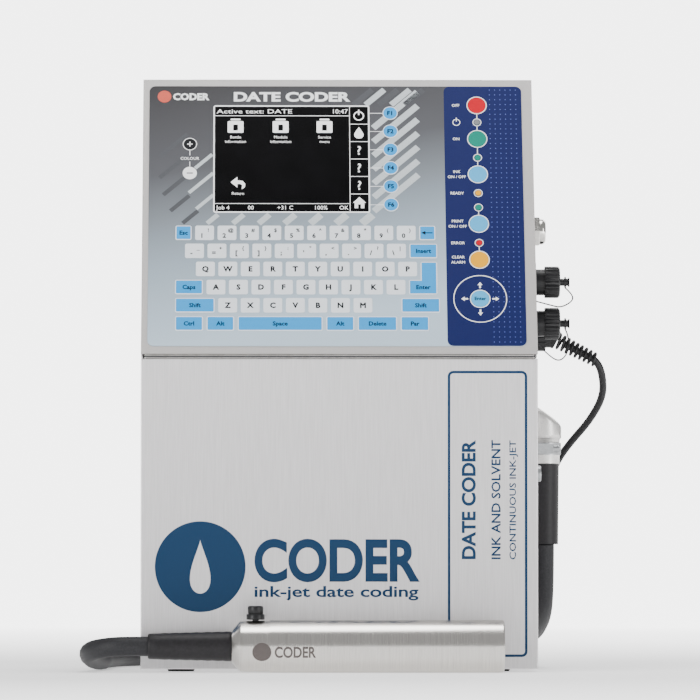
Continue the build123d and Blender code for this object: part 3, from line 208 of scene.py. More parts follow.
# %% [markdown]
# ## Finishes
# Each finish starts as a plain shader. One helper turns a hex colour to the linear values that shaders
# use, and one adds a node with its settings and links.


# %% Material helpers
def linear(hex_colour):
    """An sRGB hex colour as linear RGBA."""
    parts = [int(hex_colour[i : i + 2], 16) / 255 for i in (1, 3, 5)]
    return [p / 12.92 if p <= 0.04045 else ((p + 0.055) / 1.055) ** 2.4 for p in parts] + [1.0]


def add_node(tree, kind, settings=(), links=()):
    """Add a node, set its properties or inputs, and link its inputs."""
    node = tree.nodes.new(kind)
    for key, value in dict(settings).items():
        if isinstance(key, str) and hasattr(node, key):
            setattr(node, key, value)
        else:
            node.inputs[key].default_value = value
    for key, source in dict(links).items():
        tree.links.new(source, node.inputs[key])
    return node


def new_finish(name, colour, roughness, metallic=0.0, coat=0.0):
    """A material with one shader, and that shader."""
    finish = bpy.data.materials.new(name)
    finish.use_nodes = True
    shader = finish.node_tree.nodes["Principled BSDF"]
    shader.inputs["Base Color"].default_value = linear(colour)
    shader.inputs["Roughness"].default_value = roughness
    shader.inputs["Metallic"].default_value = metallic
    shader.inputs["Coat Weight"].default_value = coat
    return finish, shader


def gloss(level, *finishes):
    """Set how strongly these finishes reflect at a right angle."""
    for finish in finishes:
        finish.node_tree.nodes["Principled BSDF"].inputs["Specular IOR Level"].default_value = level


def grained(name, dark, light, roughness, metallic, grain_mm, bump_mm, stretch=(1, 1, 1), coat=0.0):
    """A finish whose colour, roughness and height vary with a noise of this grain, in millimetres."""
    finish, shader = new_finish(name, light, roughness, metallic, coat)
    tree = finish.node_tree
    place = add_node(tree, "ShaderNodeTexCoord")
    turn = add_node(tree, "ShaderNodeMapping", {"Scale": stretch}, {"Vector": place.outputs["Object"]})
    noise = add_node(
        tree,
        "ShaderNodeTexNoise",
        {"Scale": 1 / (grain_mm * MM), "Detail": 4.0, "Roughness": 0.6},
        {"Vector": turn.outputs["Vector"]},
    )
    ramp = add_node(tree, "ShaderNodeValToRGB", {}, {"Fac": noise.outputs["Fac"]})
    ramp.color_ramp.elements[0].position = 0.3
    ramp.color_ramp.elements[1].position = 0.7
    ramp.color_ramp.elements[0].color = linear(dark)
    ramp.color_ramp.elements[1].color = linear(light)
    tree.links.new(ramp.outputs["Color"], shader.inputs["Base Color"])
    rough = add_node(
        tree,
        "ShaderNodeMapRange",
        {"To Min": roughness * 0.85, "To Max": min(1.0, roughness * 1.15)},
        {"Value": noise.outputs["Fac"]},
    )
    tree.links.new(rough.outputs["Result"], shader.inputs["Roughness"])
    bump = add_node(
        tree,
        "ShaderNodeBump",
        {"Strength": 0.5, "Distance": bump_mm * MM},
        {"Height": noise.outputs["Fac"]},
    )
    tree.links.new(bump.outputs["Normal"], shader.inputs["Normal"])
    return finish


# %% [markdown]
# **Brushed stainless sheet.** The cabinet is rolled steel, rubbed upright with an abrasive belt, so the
# noise is stretched along Z and sheets look soft and pale. **Turned stainless** on the print head is
# brighter, with rings round its own axis.

# %% Metals
UPRIGHT = (1, 1, 0.03)
AROUND_X = (1, 0.02, 0.02)
brushed_stainless = grained("brushed_stainless_sheet", "#CCCACB", "#DAD8D9", 0.38, 0.7, 0.9, 0.02, UPRIGHT)
console_steel = grained("bead_blasted_stainless", "#B2AFAE", "#C0BDBB", 0.5, 0.6, 0.5, 0.015)
turned_stainless = grained("turned_stainless", "#C9C5C0", "#DAD7D2", 0.22, 1.0, 0.5, 0.01, AROUND_X)
zinc_plate = grained("zinc_plated_steel", "#9DA0A2", "#B4B6B8", 0.35, 0.9, 2.0, 0.01)
nickel_plate = grained("nickel_plate", "#B9B7B2", "#D8D6D2", 0.16, 1.0, 6.0, 0.01)
cast_aluminium = grained("cast_aluminium", "#CFCECB", "#E2E0DD", 0.38, 0.7, 1.2, 0.04)
machined_aluminium = grained("machined_aluminium", "#AEB0B2", "#C6C8CA", 0.3, 1.0, 0.8, 0.01, (0.05, 1, 1))

# %% [markdown]
# **Rubber and moulded plastic.** Hose and sleeves are black nitrile rubber with a dull, faintly dusty
# skin. Caps and knobs are moulded nylon with a fine spark-eroded grain.

# %% Rubber and plastic
hose_rubber = grained("nitrile_rubber_hose", "#1B1B1D", "#2A2A2D", 0.55, 0.0, 1.5, 0.03)
sleeve_rubber = grained("heat_shrink_sleeve", "#141315", "#1F1D20", 0.45, 0.0, 2.5, 0.04)
cable_jacket = grained("polyurethane_cable_jacket", "#161617", "#242426", 0.42, 0.0, 1.0, 0.01)
black_nylon = grained("moulded_black_nylon", "#131314", "#202022", 0.38, 0.0, 0.4, 0.02)
# Painted shade: this dark grey stands for the shade in the gap between the console and the door.
gap_shade_grey = grained("painted_gap_shade_grey", "#39383A", "#464547", 0.5, 0.0, 1.0, 0.02)
foot_rubber = grained("foot_rubber", "#111112", "#1D1D1E", 0.6, 0.0, 0.6, 0.03)
white_polythene = grained("natural_polythene", "#D9D8CF", "#E6E5DE", 0.4, 0.0, 8.0, 0.03)
board_green = grained("solder_mask_green", "#0B4A2A", "#12613A", 0.35, 0.0, 3.0, 0.02)
screen_black = grained("screen_glass_black", "#050506", "#08080A", 0.18, 0.0, 20.0, 0.001)
gloss(0.1, screen_black)
gloss(0.3, hose_rubber, sleeve_rubber, cable_jacket, black_nylon, foot_rubber)

# %% [markdown]
# **Printed film.** The keypad is a polyester film printed on its back, with a fine matt texture. Its
# colours are flat inks, so each ink is a smooth finish with a very fine grain.

# %% Inks and key films
white_ink = grained("white_screen_ink", "#E4E6E8", "#F2F3F4", 0.45, 0.0, 0.5, 0.002)
navy_ink = grained("navy_screen_ink", "#072A48", "#0A3354", 0.42, 0.0, 0.5, 0.002)
legend_ink = grained("black_legend_ink", "#06080B", "#0C0F14", 0.45, 0.0, 0.5, 0.002)
soft_key_film = grained("pale_key_film", "#D0D5DA", "#DCE0E5", 0.4, 0.0, 0.4, 0.004)
cyan_key_film = grained("cyan_key_film", "#1588CA", "#2294D4", 0.38, 0.0, 0.4, 0.004)
red_film = grained("red_key_film", "#B00018", "#BE0020", 0.35, 0.0, 0.4, 0.004)
green_film = grained("green_key_film", "#027060", "#06806E", 0.35, 0.0, 0.4, 0.004)
blue_film = grained("light_blue_key_film", "#3B9ACD", "#4AA6D8", 0.35, 0.0, 0.4, 0.004)
yellow_film = grained("yellow_key_film", "#DC9600", "#E6A40A", 0.35, 0.0, 0.4, 0.004)
grey_film = grained("grey_lamp_film", "#6A6C6E", "#7C7E80", 0.35, 0.0, 0.4, 0.004)

gloss(0.2, white_ink, navy_ink, legend_ink, soft_key_film, cyan_key_film)
gloss(0.2, red_film, green_film, blue_film, yellow_film, grey_film)

screen_white = grained("lit_screen_white", "#E4E4E4", "#ECECEC", 0.5, 0.0, 0.4, 0.002)
glow = screen_white.node_tree.nodes["Principled BSDF"]
glow.inputs["Emission Color"].default_value = linear("#E0E2E4")
glow.inputs["Emission Strength"].default_value = 0.45

# %% [markdown]
# ## Hose, cable and tethers
# A cord is one smooth spline through listed points. The hose leaves the elbow on the right wall,
# is wound into a neat coil behind the cabinet, and runs up the left side to the print head.


# %% Cord helpers
def spline(name, points_mm):
    """A smooth open curve that these points steer."""
    data = bpy.data.curves.new(name, "CURVE")
    data.dimensions = "3D"
    data.resolution_u = 6
    line = data.splines.new("NURBS")
    line.points.add(len(points_mm) - 1)
    for control, point in zip(line.points, metres(points_mm)):
        control.co = (*point, 1.0)
    line.order_u = 3
    line.use_endpoint_u = True
    obj = bpy.data.objects.new(name, data)
    bpy.context.scene.collection.objects.link(obj)
    return obj


def middle_line(curve):
    """The points along a curve that has no thickness."""
    bare = bpy.data.meshes.new_from_object(curve)
    points = [tuple(vertex.co) for vertex in bare.vertices]
    bpy.data.meshes.remove(bare)
    return points


def line_length(points):
    """The length of a line of points, in metres."""
    return sum((Vector(b) - Vector(a)).length for a, b in zip(points, points[1:]))


def coil_points(centre, radius, turns, lay, start_deg, low_z):
    """Clockwise turns laid one on another; the steering points stand a little outside the curve."""
    per_turn = 16
    outside = radius / math.cos(math.pi / per_turn)
    points = []
    for step in range(1, round(turns * per_turn)):
        angle = math.radians(start_deg) - 2 * math.pi * step / per_turn
        height = low_z + lay * step / per_turn
        points.append((centre[0] + outside * math.cos(angle), centre[1] + outside * math.sin(angle), height))
    return points


# %% Hose route
HOSE_D = 16.0
hose_low_z = HOSE_D / 2 + 0.2
HOSE_COIL = (-62.0, 254.0)
HOSE_COIL_R = 90.0
HOSE_TURNS = 3.25
HOSE_LAY = 16.2
head_side = [
    (-120, -168.5, 21),
    (-142, -168.5, 21),
    (-156, -168.5, 21),
    (-168.7, -168.5, 21),
    (-181, -168.2, 20.7),
    (-193.5, -160.5, 18.9),
    (-200.5, -145, 16.4),
    (-201.5, -125, 13.9),
    (-200, -98, 11.1),
    (-197, -66, 8.8),
    (-192, -24, 8.2),
    (-194, 30, 8.3),
    (-189, 84, 8.2),
    (-183, 136, 8.3),
    (-167, 184, 8.2),
    (-154, 219, 8.3),
    (HOSE_COIL[0] - HOSE_COIL_R, HOSE_COIL[1], hose_low_z),
]
cabinet_side = [
    (HOSE_COIL[0], HOSE_COIL[1] + HOSE_COIL_R, hose_low_z + HOSE_TURNS * HOSE_LAY),
    (6, 348, 56),
    (58, 342, 49),
    (107, 318, 39),
    (141, 274, 30),
    (158, 222, 26),
    (167, 172, 27),
    (171, 128, 34),
    (173, 95, 42),
    (174, 70, 55),
    (174, 55, 78),
    (174, 52.5, 103.5),
]
hose_turns = coil_points(HOSE_COIL, HOSE_COIL_R, HOSE_TURNS, HOSE_LAY, 180, hose_low_z)
hose = spline("hose", head_side + hose_turns + cabinet_side)
hose_line = middle_line(hose)
hose.data.bevel_depth = HOSE_D / 2 * MM
hose.data.bevel_resolution = 5
only(hose)
bpy.ops.object.convert(target="MESH")
hose = bpy.context.object
settle(hose, "umbilical_hose", None, hose_rubber)
bpy.ops.object.shade_smooth()

# %% Cable route
CABLE_D = 6.2
cable_low_z = CABLE_D / 2 + 0.2
CABLE_COIL = (90.0, 190.0)
CABLE_COIL_R = 35.0
CABLE_TURNS = 6.25
CABLE_LAY = 6.3
RELIEF_DROOP = math.radians(27)
relief_start = Vector((178.0, 17.5, 275.0))
relief_along = Vector((math.cos(RELIEF_DROOP), 0, -math.sin(RELIEF_DROOP)))
relief_end = relief_start + relief_along * 43
cable_points = [
    tuple(relief_start + relief_along * 12),
    tuple(relief_start + relief_along * 30),
    tuple(relief_end),
    (221, 20, 243),
    (222, 32, 226),
    (211, 47, 206),
    (197, 61, 190),
    (185, 76, 173),
    (176, 90, 149),
    (172, 102, 120),
    (170, 114, 88),
    (167, 137, 60),
    (151, 150, 36),
    (131, 155, 16),
    (110, 155, 5),
    (CABLE_COIL[0], CABLE_COIL[1] - CABLE_COIL_R, cable_low_z),
]
cable_tail = [
    (CABLE_COIL[0] - CABLE_COIL_R, CABLE_COIL[1], cable_low_z + CABLE_TURNS * CABLE_LAY),
    (56, 212, 39),
    (60, 234, 27),
    (66, 264, 18),
]
cable_turns = coil_points(CABLE_COIL, CABLE_COIL_R, CABLE_TURNS, CABLE_LAY, -90, cable_low_z)
cable = spline("mains_cable", cable_points + cable_turns + cable_tail)
cable_length = line_length(middle_line(cable))
cable.data.bevel_depth = CABLE_D / 2 * MM
cable.data.bevel_resolution = 3
cable.data.resolution_u = 4
cable.data.materials.append(cable_jacket)
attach(cable, "cabinet")
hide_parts("cable_run", "cable_coil", "cable_tail")
print("cable length", round(cable_length, 3))

# %% [markdown]
# The cable's strain relief is an open rubber spiral that tapers towards the cable, so it bends a little
# at a time. It is a helix whose turns shrink along the cable, held by a rounded collar at the nut.

# %% Spiral strain relief
RELIEF_TURNS = 9
RELIEF_STEPS = 12
HELIX_LONG = 37
HELIX_R = 6.3
HELIX_TAPER = 1.2
side_way = Vector((0, 1, 0))
up_way = relief_along.cross(side_way)
helix = []
for step in range(RELIEF_TURNS * RELIEF_STEPS + 1):
    share = step / (RELIEF_TURNS * RELIEF_STEPS)
    angle = 2 * math.pi * step / RELIEF_STEPS
    around = side_way * math.cos(angle) + up_way * math.sin(angle)
    along = relief_along * (5 + HELIX_LONG * share)
    helix.append(relief_start + along + around * (HELIX_R - HELIX_TAPER * share))
relief = spline("strain_relief", helix)
relief.data.bevel_depth = 1.1 * MM
relief.data.bevel_resolution = 2
relief.data.resolution_u = 3
only(relief)
bpy.ops.object.convert(target="MESH")
relief = bpy.context.object
bpy.ops.mesh.primitive_cylinder_add(vertices=24, radius=8 * MM, depth=7 * MM)
collar = bpy.context.object
apply_modifier(collar, "BEVEL", width=1.5 * MM, segments=3)
collar.matrix_world = Matrix.Translation((relief_start + relief_along * 2.0) * MM) @ (
    relief_along.to_track_quat("Z", "Y").to_matrix().to_4x4()
)
relief = join([relief, collar])
settle(relief, "spiral_strain_relief", "cabinet", black_nylon, replaced=["cable_strain_relief"])
bpy.ops.object.shade_smooth_by_angle(angle=math.radians(40))

# %% Tethers of the dust caps
TETHER_D = 1.2
WALL_X = 160.0
SOCKET_Y = -32.5
UPPER_SOCKET_Z, LOWER_SOCKET_Z = 318.5, 284.5
ring_x = WALL_X + 27.1
tethers = {
    "upper_tether": (UPPER_SOCKET_Z, 9, 20),
    "lower_tether": (LOWER_SOCKET_Z, 4, 32),
}
for name, (height, reach, drop) in tethers.items():
    low = height - 4.5
    tether_points = [
        (ring_x, SOCKET_Y, low),
        (ring_x + reach * 0.6, SOCKET_Y - 3, low - 5),
        (ring_x + reach * 0.7, SOCKET_Y - 8, low - drop * 0.55),
        (ring_x - 4, SOCKET_Y - 13, low - drop * 0.85),
        (ring_x - 13, SOCKET_Y - 17, low - drop * 0.75),
        (WALL_X + 2.5, SOCKET_Y - 18.5, low - 12),
    ]
    tether = spline(f"{name}_cord", tether_points)
    tether_length = round(line_length(middle_line(tether)), 3)
    print(name, tether_length)
    tether.data.bevel_depth = TETHER_D / 2 * MM
    tether.data.bevel_resolution = 2
    tether.data.materials.append(cable_jacket)
    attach(tether, "cabinet")
    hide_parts(name)

# %% [markdown]
# ## Turned pieces
# The print head, its sleeve and knob, the dust caps and the elbow are round. Each starts as a disc that
# is extruded along its axis and resized ring by ring, as on a lathe.


# %% Lathe helper
def turned(outline, sides=64):
    """A closed round piece about Z; the outline is a list of (radius, height) in millimetres."""
    radius, height = outline[0]
    bpy.ops.object.select_all(action="DESELECT")
    bpy.ops.mesh.primitive_circle_add(
        vertices=sides, radius=radius * MM, fill_type="NGON", location=(0, 0, height * MM)
    )
    piece = bpy.context.object
    bpy.ops.object.transform_apply(location=True, rotation=False, scale=False)
    bpy.ops.object.mode_set(mode="EDIT")
    bpy.ops.mesh.select_all(action="SELECT")
    for next_radius, next_height in outline[1:]:
        bpy.ops.mesh.extrude_region_move(
            TRANSFORM_OT_translate={"value": (0, 0, (next_height - height) * MM)}
        )
        ratio = next_radius / radius
        bpy.ops.transform.resize(value=(ratio, ratio, 1))
        radius, height = next_radius, next_height
    bpy.ops.mesh.select_all(action="SELECT")
    bpy.ops.mesh.normals_make_consistent(inside=False)
    bpy.ops.object.mode_set(mode="OBJECT")
    return piece


def smooth(piece, degrees=35):
    """Shade smoothly except over sharp edges."""
    only(piece)
    bpy.ops.object.shade_smooth_by_angle(angle=math.radians(degrees))


def along_x(x, y, z):
    """A place whose Z points along the row's X."""
    turn = Matrix.Rotation(math.radians(90), 4, "Y")
    return Matrix.Translation(Vector((x, y, z)) * MM) @ turn


# %% [markdown]
# **Print head.** A plain polished cover tube, a cone at the hose end and a thumb screw that holds them
# together. The tube's front is closed with a slot, which the CAD part already has, so the cover stays.

# %% Print head
HEAD_Y = -168.5
HEAD_R = 21.0
head_axis = along_x(0, HEAD_Y, HEAD_R)
cone = [(13.0, -86.4), (14.0, -85.6), (17.5, -82.4), (20.2, -79.9), (20.7, -79.3)]
spigot = [(19.5, -79.3), (19.5, -51.3)]
tail = turned(cone + spigot, 96)
settle(tail, "head_tail_cone", "print_head", turned_stainless, head_axis, ["head_tail_housing"])
smooth(tail)

sleeve_rings = [(9.2, -153.5), (9.9, -153.0), (10.2, -152.0), (10.4, -146.0)]
SWELL_PITCH = 8.6
for swell in range(6):
    start = -144.0 + swell * SWELL_PITCH
    grown = swell * 0.2
    sleeve_rings += [(10.5 + grown, start), (10.75 + grown, start + 4), (10.6 + grown, start + 7.6)]
sleeve_rings += [(11.9, -91), (11.9, -87.2), (11.2, -86.5)]
head_sleeve = turned(sleeve_rings, 48)
settle(head_sleeve, "head_sleeve", "print_head", sleeve_rubber, head_axis, ["hose_sleeve_head"])
smooth(head_sleeve, 50)

knob = turned(
    [(2.5, 29.0), (2.5, 42.3), (6.9, 42.3), (7.35, 42.9), (7.35, 46.0), (6.9, 46.7), (5.7, 46.7), (6.1, 47.3)]
    + [(6.3, 51.6), (5.8, 53.0), (4.6, 53.3), (3.6, 52.9)],
    48,
)
KNOB_X = -67.5
knob_place = Matrix.Translation(Vector((KNOB_X, HEAD_Y, 0)) * MM)
settle(knob, "head_knob", "thumb_screw", black_nylon, knob_place, ["head_thumb_screw"])
smooth(knob)

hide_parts("hose_cabinet_run", "hose_coil", "hose_head_run")
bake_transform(hose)

# %% [markdown]
# **Dust caps.** Moulded caps with a ribbed rim, so that fingers get a grip. Narrow strips of the rim are
# drawn in towards the axis, which leaves the broad strips between them standing as ribs.


# %% Dust caps
RIB_PITCH_DEG = 15
GROOVE_HALF_DEG = 2.5
GROOVE_SHARE = 0.93
RIM_R = 12.5


def ribbed_cap(name, height, body, node):
    """A cap with upright ribs round its rim and a small knob on its end."""
    cap = turned(
        [(11.1, 10.1), (12.7, 10.1), (13.0, 10.5), (13.0, 20.9), (12.4, 21.8), (11.2, 22.6), (3.6, 22.6)]
        + [(3.0, 23.0), (3.0, 29.2), (3.7, 29.6), (4.0, 30.1), (3.7, 30.6), (2.4, 30.6)],
        72,
    )
    bpy.ops.object.mode_set(mode="EDIT")
    bpy.ops.mesh.select_mode(type="VERT")
    bpy.ops.mesh.select_all(action="DESELECT")
    bpy.ops.object.mode_set(mode="OBJECT")
    for vertex in cap.data.vertices:
        turn = math.degrees(math.atan2(vertex.co.y, vertex.co.x)) % RIB_PITCH_DEG
        on_rim = vertex.co.xy.length > RIM_R * MM
        vertex.select = on_rim and (turn < GROOVE_HALF_DEG or turn > RIB_PITCH_DEG - GROOVE_HALF_DEG)
    bpy.ops.object.mode_set(mode="EDIT")
    bpy.ops.transform.resize(value=(GROOVE_SHARE, GROOVE_SHARE, 1), center_override=(0, 0, 0))
    bpy.ops.object.mode_set(mode="OBJECT")
    settle(cap, name, body, black_nylon, along_x(WALL_X, SOCKET_Y, height), [node])
    smooth(cap)


ribbed_cap("upper_cap_shell", UPPER_SOCKET_Z, "upper_cap", "upper_dust_cap")
ribbed_cap("lower_cap_shell", LOWER_SOCKET_Z, "lower_cap", "lower_dust_cap")

# %% [markdown]
# ** Shadow gap.** Between the console's lip and the door's top edge, set back from the face, runs a strip whose dark grey is painted
# shade: it stands for the shade in the gap. A bright hem is rolled on the edge of the sheet above it and on
# the one below it.

# %% Painted gap shade and hems
door_top = door_high[2]
console_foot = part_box("console_lid")[0][2]
GAP_STRIP_W = 314 * MM
HEM_D = 1.1 * MM
gap = console_foot - door_top
bpy.ops.object.select_all(action="DESELECT")
# A strip set back in the gap between console and door; its dark grey is painted shade.
bpy.ops.mesh.primitive_cube_add(size=1, location=(0, front_y + 9.5 * MM, door_top + gap / 2))
gap_shade_strip = bpy.context.object
gap_shade_strip.scale = (GAP_STRIP_W, 14 * MM, gap - 0.6 * MM)
bpy.ops.object.transform_apply(location=False, rotation=False, scale=True)
apply_modifier(gap_shade_strip, "BEVEL", width=0.8 * MM, segments=3)
settle(gap_shade_strip, "front_gap_shade_strip", "cabinet", gap_shade_grey)
hems = []
for hem_z in (door_top + 0.3 * MM + HEM_D / 2, console_foot - 0.3 * MM - HEM_D / 2):
    bpy.ops.mesh.primitive_cylinder_add(
        vertices=16,
        radius=HEM_D / 2,
        depth=GAP_STRIP_W,
        location=(0, front_y + 1.9 * MM, hem_z),
        rotation=(0, math.pi / 2, 0),
    )
    bpy.ops.object.transform_apply(location=True, rotation=True, scale=False)
    hem = bpy.context.object
    apply_modifier(hem, "BEVEL", width=0.3 * MM, segments=2, angle_limit=math.radians(60))
    hems.append(hem)
settle(join(hems), "front_gap_hems", "cabinet", nickel_plate)

# %% [markdown]
# **Elbow.** The hose leaves through a cast and tumbled aluminium elbow. Its body is a round boss with a
# domed crown that leans down away from the wall, and every edge is well rounded, as castings are.

# %% Elbow casting
ELBOW_X, ELBOW_Y = 174.0, 52.5
ELBOW_SLOPE = math.radians(35)
SHOULDER_Z = 195.0
CROWN_Z = 213.8
OUTLET_Z = 200.5
neck = [(12.0, 170.5), (12.6, 171.0), (12.6, 190.6), (13.2, 191.4), (14.0, 192.4), (14.0, SHOULDER_Z)]
crown = [(14.0, 206.5), (13.7, 208.9), (12.9, 210.9), (11.5, 212.5), (9.6, 213.4)]
crown += [(7.4, CROWN_Z), (0.1, CROWN_Z)]
boss = turned(neck + crown, 64)
for vertex in boss.data.vertices:
    share = max(0.0, vertex.co.z / MM - SHOULDER_Z) / (CROWN_Z - SHOULDER_Z)
    vertex.co.z -= share * math.tan(ELBOW_SLOPE) * vertex.co.x
boss.location = (ELBOW_X * MM, ELBOW_Y * MM, 0)
bpy.ops.object.transform_apply(location=True, rotation=False, scale=False)
flange = [(10.0, -10), (10.0, 0.0), (12.0, 0.0), (12.0, 2.0), (11.3, 2.5), (10.0, 2.9), (10.0, 12.0)]
outlet = turned(flange, 48)
outlet.matrix_world = along_x(WALL_X, ELBOW_Y, OUTLET_Z)
elbow = join([boss, outlet])
settle(elbow, "elbow_casting", "cabinet", cast_aluminium, replaced=["hose_elbow"])
smooth(elbow, 40)

# %% [markdown]
# ## Printed film on the console
# The console's face leans back. Everything printed on it is laid out flat, with X across and Y up the
# slope, and then moved onto the face. Ink is a thin film, so each colour is its own shallow plate.

# %% Places of the two printed faces
LIP_Z = 256.0
MEMBRANE_TOP = 0.6
INK = 0.03
TILT = math.radians(25.6)
up_slope = Vector((0, math.sin(TILT), math.cos(TILT)))
outward = Vector((0, -math.cos(TILT), math.sin(TILT)))
console_place = Matrix.Translation((0, front_y, LIP_Z * MM)) @ (
    Matrix((Vector((1, 0, 0)), up_slope, outward)).transposed().to_4x4()
)
door_place = Matrix.Translation((0, front_y, 0)) @ (
    Matrix((Vector((1, 0, 0)), Vector((0, 0, 1)), Vector((0, -1, 0)))).transposed().to_4x4()
)


# %% Flat film helpers
def film(x, y, width, height, low, thick, corner=0.0, sides="both", turn=0.0):
    """A thin rounded plate on the layout plane, its centre at x, y."""
    bpy.ops.object.select_all(action="DESELECT")
    bpy.ops.mesh.primitive_plane_add(size=1)
    plate = bpy.context.object
    plate.scale = (width * MM, height * MM, 1)
    bpy.ops.object.transform_apply(location=False, rotation=False, scale=True)
    if sides == "right":
        for vertex in plate.data.vertices:
            vertex.select = vertex.co.x > 0
    bpy.ops.object.mode_set(mode="EDIT")
    bpy.ops.mesh.select_mode(type="VERT")
    if sides == "both":
        bpy.ops.mesh.select_all(action="SELECT")
    if corner:
        bpy.ops.mesh.bevel(offset=corner * MM, segments=5, affect="VERTICES")
    bpy.ops.mesh.select_all(action="SELECT")
    bpy.ops.mesh.extrude_region_move(TRANSFORM_OT_translate={"value": (0, 0, thick * MM)})
    bpy.ops.mesh.select_all(action="SELECT")
    bpy.ops.mesh.normals_make_consistent(inside=False)
    bpy.ops.object.mode_set(mode="OBJECT")
    plate.location = (x * MM, y * MM, low * MM)
    plate.rotation_euler.z = math.radians(turn)
    bpy.ops.object.transform_apply(location=True, rotation=True, scale=False)
    return plate


def disc(x, y, radius, low, thick, sides=40):
    """A thin round plate on the layout plane."""
    bpy.ops.object.select_all(action="DESELECT")
    bpy.ops.mesh.primitive_cylinder_add(
        vertices=sides,
        radius=radius * MM,
        depth=thick * MM,
        location=(x * MM, y * MM, (low + thick / 2) * MM),
    )
    bpy.ops.object.transform_apply(location=True, rotation=False, scale=False)
    return bpy.context.object


def ring(x, y, outer, width, low, thick, sides=48):
    """A thin flat ring on the layout plane."""
    bpy.ops.object.select_all(action="DESELECT")
    bpy.ops.mesh.primitive_circle_add(vertices=sides, radius=outer * MM, fill_type="NGON")
    piece = bpy.context.object
    bpy.ops.object.mode_set(mode="EDIT")
    bpy.ops.mesh.select_all(action="SELECT")
    bpy.ops.mesh.inset(thickness=width * MM, depth=0)
    bpy.ops.mesh.delete(type="FACE")
    bpy.ops.mesh.select_all(action="SELECT")
    bpy.ops.mesh.extrude_region_move(TRANSFORM_OT_translate={"value": (0, 0, thick * MM)})
    bpy.ops.mesh.select_all(action="SELECT")
    bpy.ops.mesh.normals_make_consistent(inside=False)
    bpy.ops.object.mode_set(mode="OBJECT")
    piece.location = (x * MM, y * MM, low * MM)
    bpy.ops.object.transform_apply(location=True, rotation=False, scale=False)
    return piece


def outline_plate(points, low, thick):
    """A thin plate with this outline, in millimetres."""
    data = bpy.data.meshes.new("outline")
    data.from_pydata([(x * MM, y * MM, low * MM) for x, y in points], [], [range(len(points))])
    plate = bpy.data.objects.new("outline", data)
    bpy.context.scene.collection.objects.link(plate)
    only(plate)
    bpy.ops.object.mode_set(mode="EDIT")
    bpy.ops.mesh.select_all(action="SELECT")
    bpy.ops.mesh.extrude_region_move(TRANSFORM_OT_translate={"value": (0, 0, thick * MM)})
    bpy.ops.mesh.select_all(action="SELECT")
    bpy.ops.mesh.normals_make_consistent(inside=False)
    bpy.ops.object.mode_set(mode="OBJECT")
    return plate


def hollow(plate, width):
    """Cut the middle out of a plate and leave a frame of this width."""
    only(plate)
    bpy.ops.object.mode_set(mode="EDIT")
    bpy.ops.mesh.select_mode(type="FACE")
    bpy.ops.object.mode_set(mode="OBJECT")
    for face in plate.data.polygons:
        face.select = abs(face.normal.z) > 0.5
    bpy.ops.object.mode_set(mode="EDIT")
    bpy.ops.mesh.inset(thickness=width * MM, depth=0)
    bpy.ops.mesh.bridge_edge_loops()
    bpy.ops.object.mode_set(mode="OBJECT")


CAP_SHARE = 0.7
SMALL_LETTERS = 8


def words(text, x, y, height, low, align="CENTER", bold=0.0, turn=0.0, width=None):
    """Lettering with this capital height, its middle at y; with a width, it is stretched to fit."""
    bpy.ops.object.select_all(action="DESELECT")
    bpy.ops.object.text_add()
    piece = bpy.context.object
    piece.data.body = text
    piece.data.size = height / CAP_SHARE * MM
    piece.data.resolution_u = 2 if height < SMALL_LETTERS else 8
    piece.data.bevel_depth = bold * MM
    piece.data.bevel_resolution = 0
    piece.data.align_x = align
    piece.data.extrude = 0.01 * MM
    bpy.ops.object.convert(target="MESH")
    piece = bpy.context.object
    stretch = 1.0 if width is None else width * MM / piece.dimensions.x
    piece.scale = (stretch, 1, INK * MM / piece.dimensions.z)
    angle = math.radians(turn)
    down = Vector((math.sin(angle), -math.cos(angle))) * height / 2
    piece.location = ((x + down.x) * MM, (y + down.y) * MM, low * MM)
    piece.rotation_euler.z = angle
    bpy.ops.object.transform_apply(location=True, rotation=True, scale=True)
    return piece


def printed(parts, name, finish, place=console_place, body="console", replaced=()):
    """Join flat parts into one printed piece and move it onto its face."""
    return settle(join(parts), name, body, finish, place, replaced)


# %% [markdown]
# **Keys.** The film is embossed into low caps. Letter keys are pale; the others have a cyan field
# inside a pale rim. Rows start where the CAD rows start, and widths are in key pitches.

# %% Keyboard
KEY_PITCH = 18.23
KEY_ROW = 16.7
KEY_LOW = 27.1
KEY_H = 13.4
KEY_GAP = 2.8
KEY_TOP = MEMBRANE_TOP + 0.5
key_rows = [
    (5, -132.8, [0.88] + [1.0] * 10 + [0.88], ["Esc"] + list("1234567890") + ["<"]),
    (4, -124.9, [1.0] * 10 + [1.40], list("-=[];',./\\") + ["Insert"]),
    (3, -116.0, [1.0] * 10 + [0.90], list("QWERTYUIOP") + [" "]),
    (2, -132.9, [1.40] + [1.0] * 9 + [1.42], ["Caps"] + list("ASDFGHJKL") + ["Enter"]),
    (1, -132.8, [1.92] + [1.0] * 7, ["Shift"] + list("ZXCVBNM")),
    (1, 50.3, [1.88], ["Shift"]),
    (0, -132.7, [1.40, 1.38, 3.92, 1.40, 1.90, 1.42], ["Ctrl", "Alt", "Space", "Alt", "Delete", "Par"]),
]
upper_signs = {4: "_+{}:\"<>?|", 5: "!@#$%^&*()"}
pale_caps = []
cyan_fields = []
legends = []
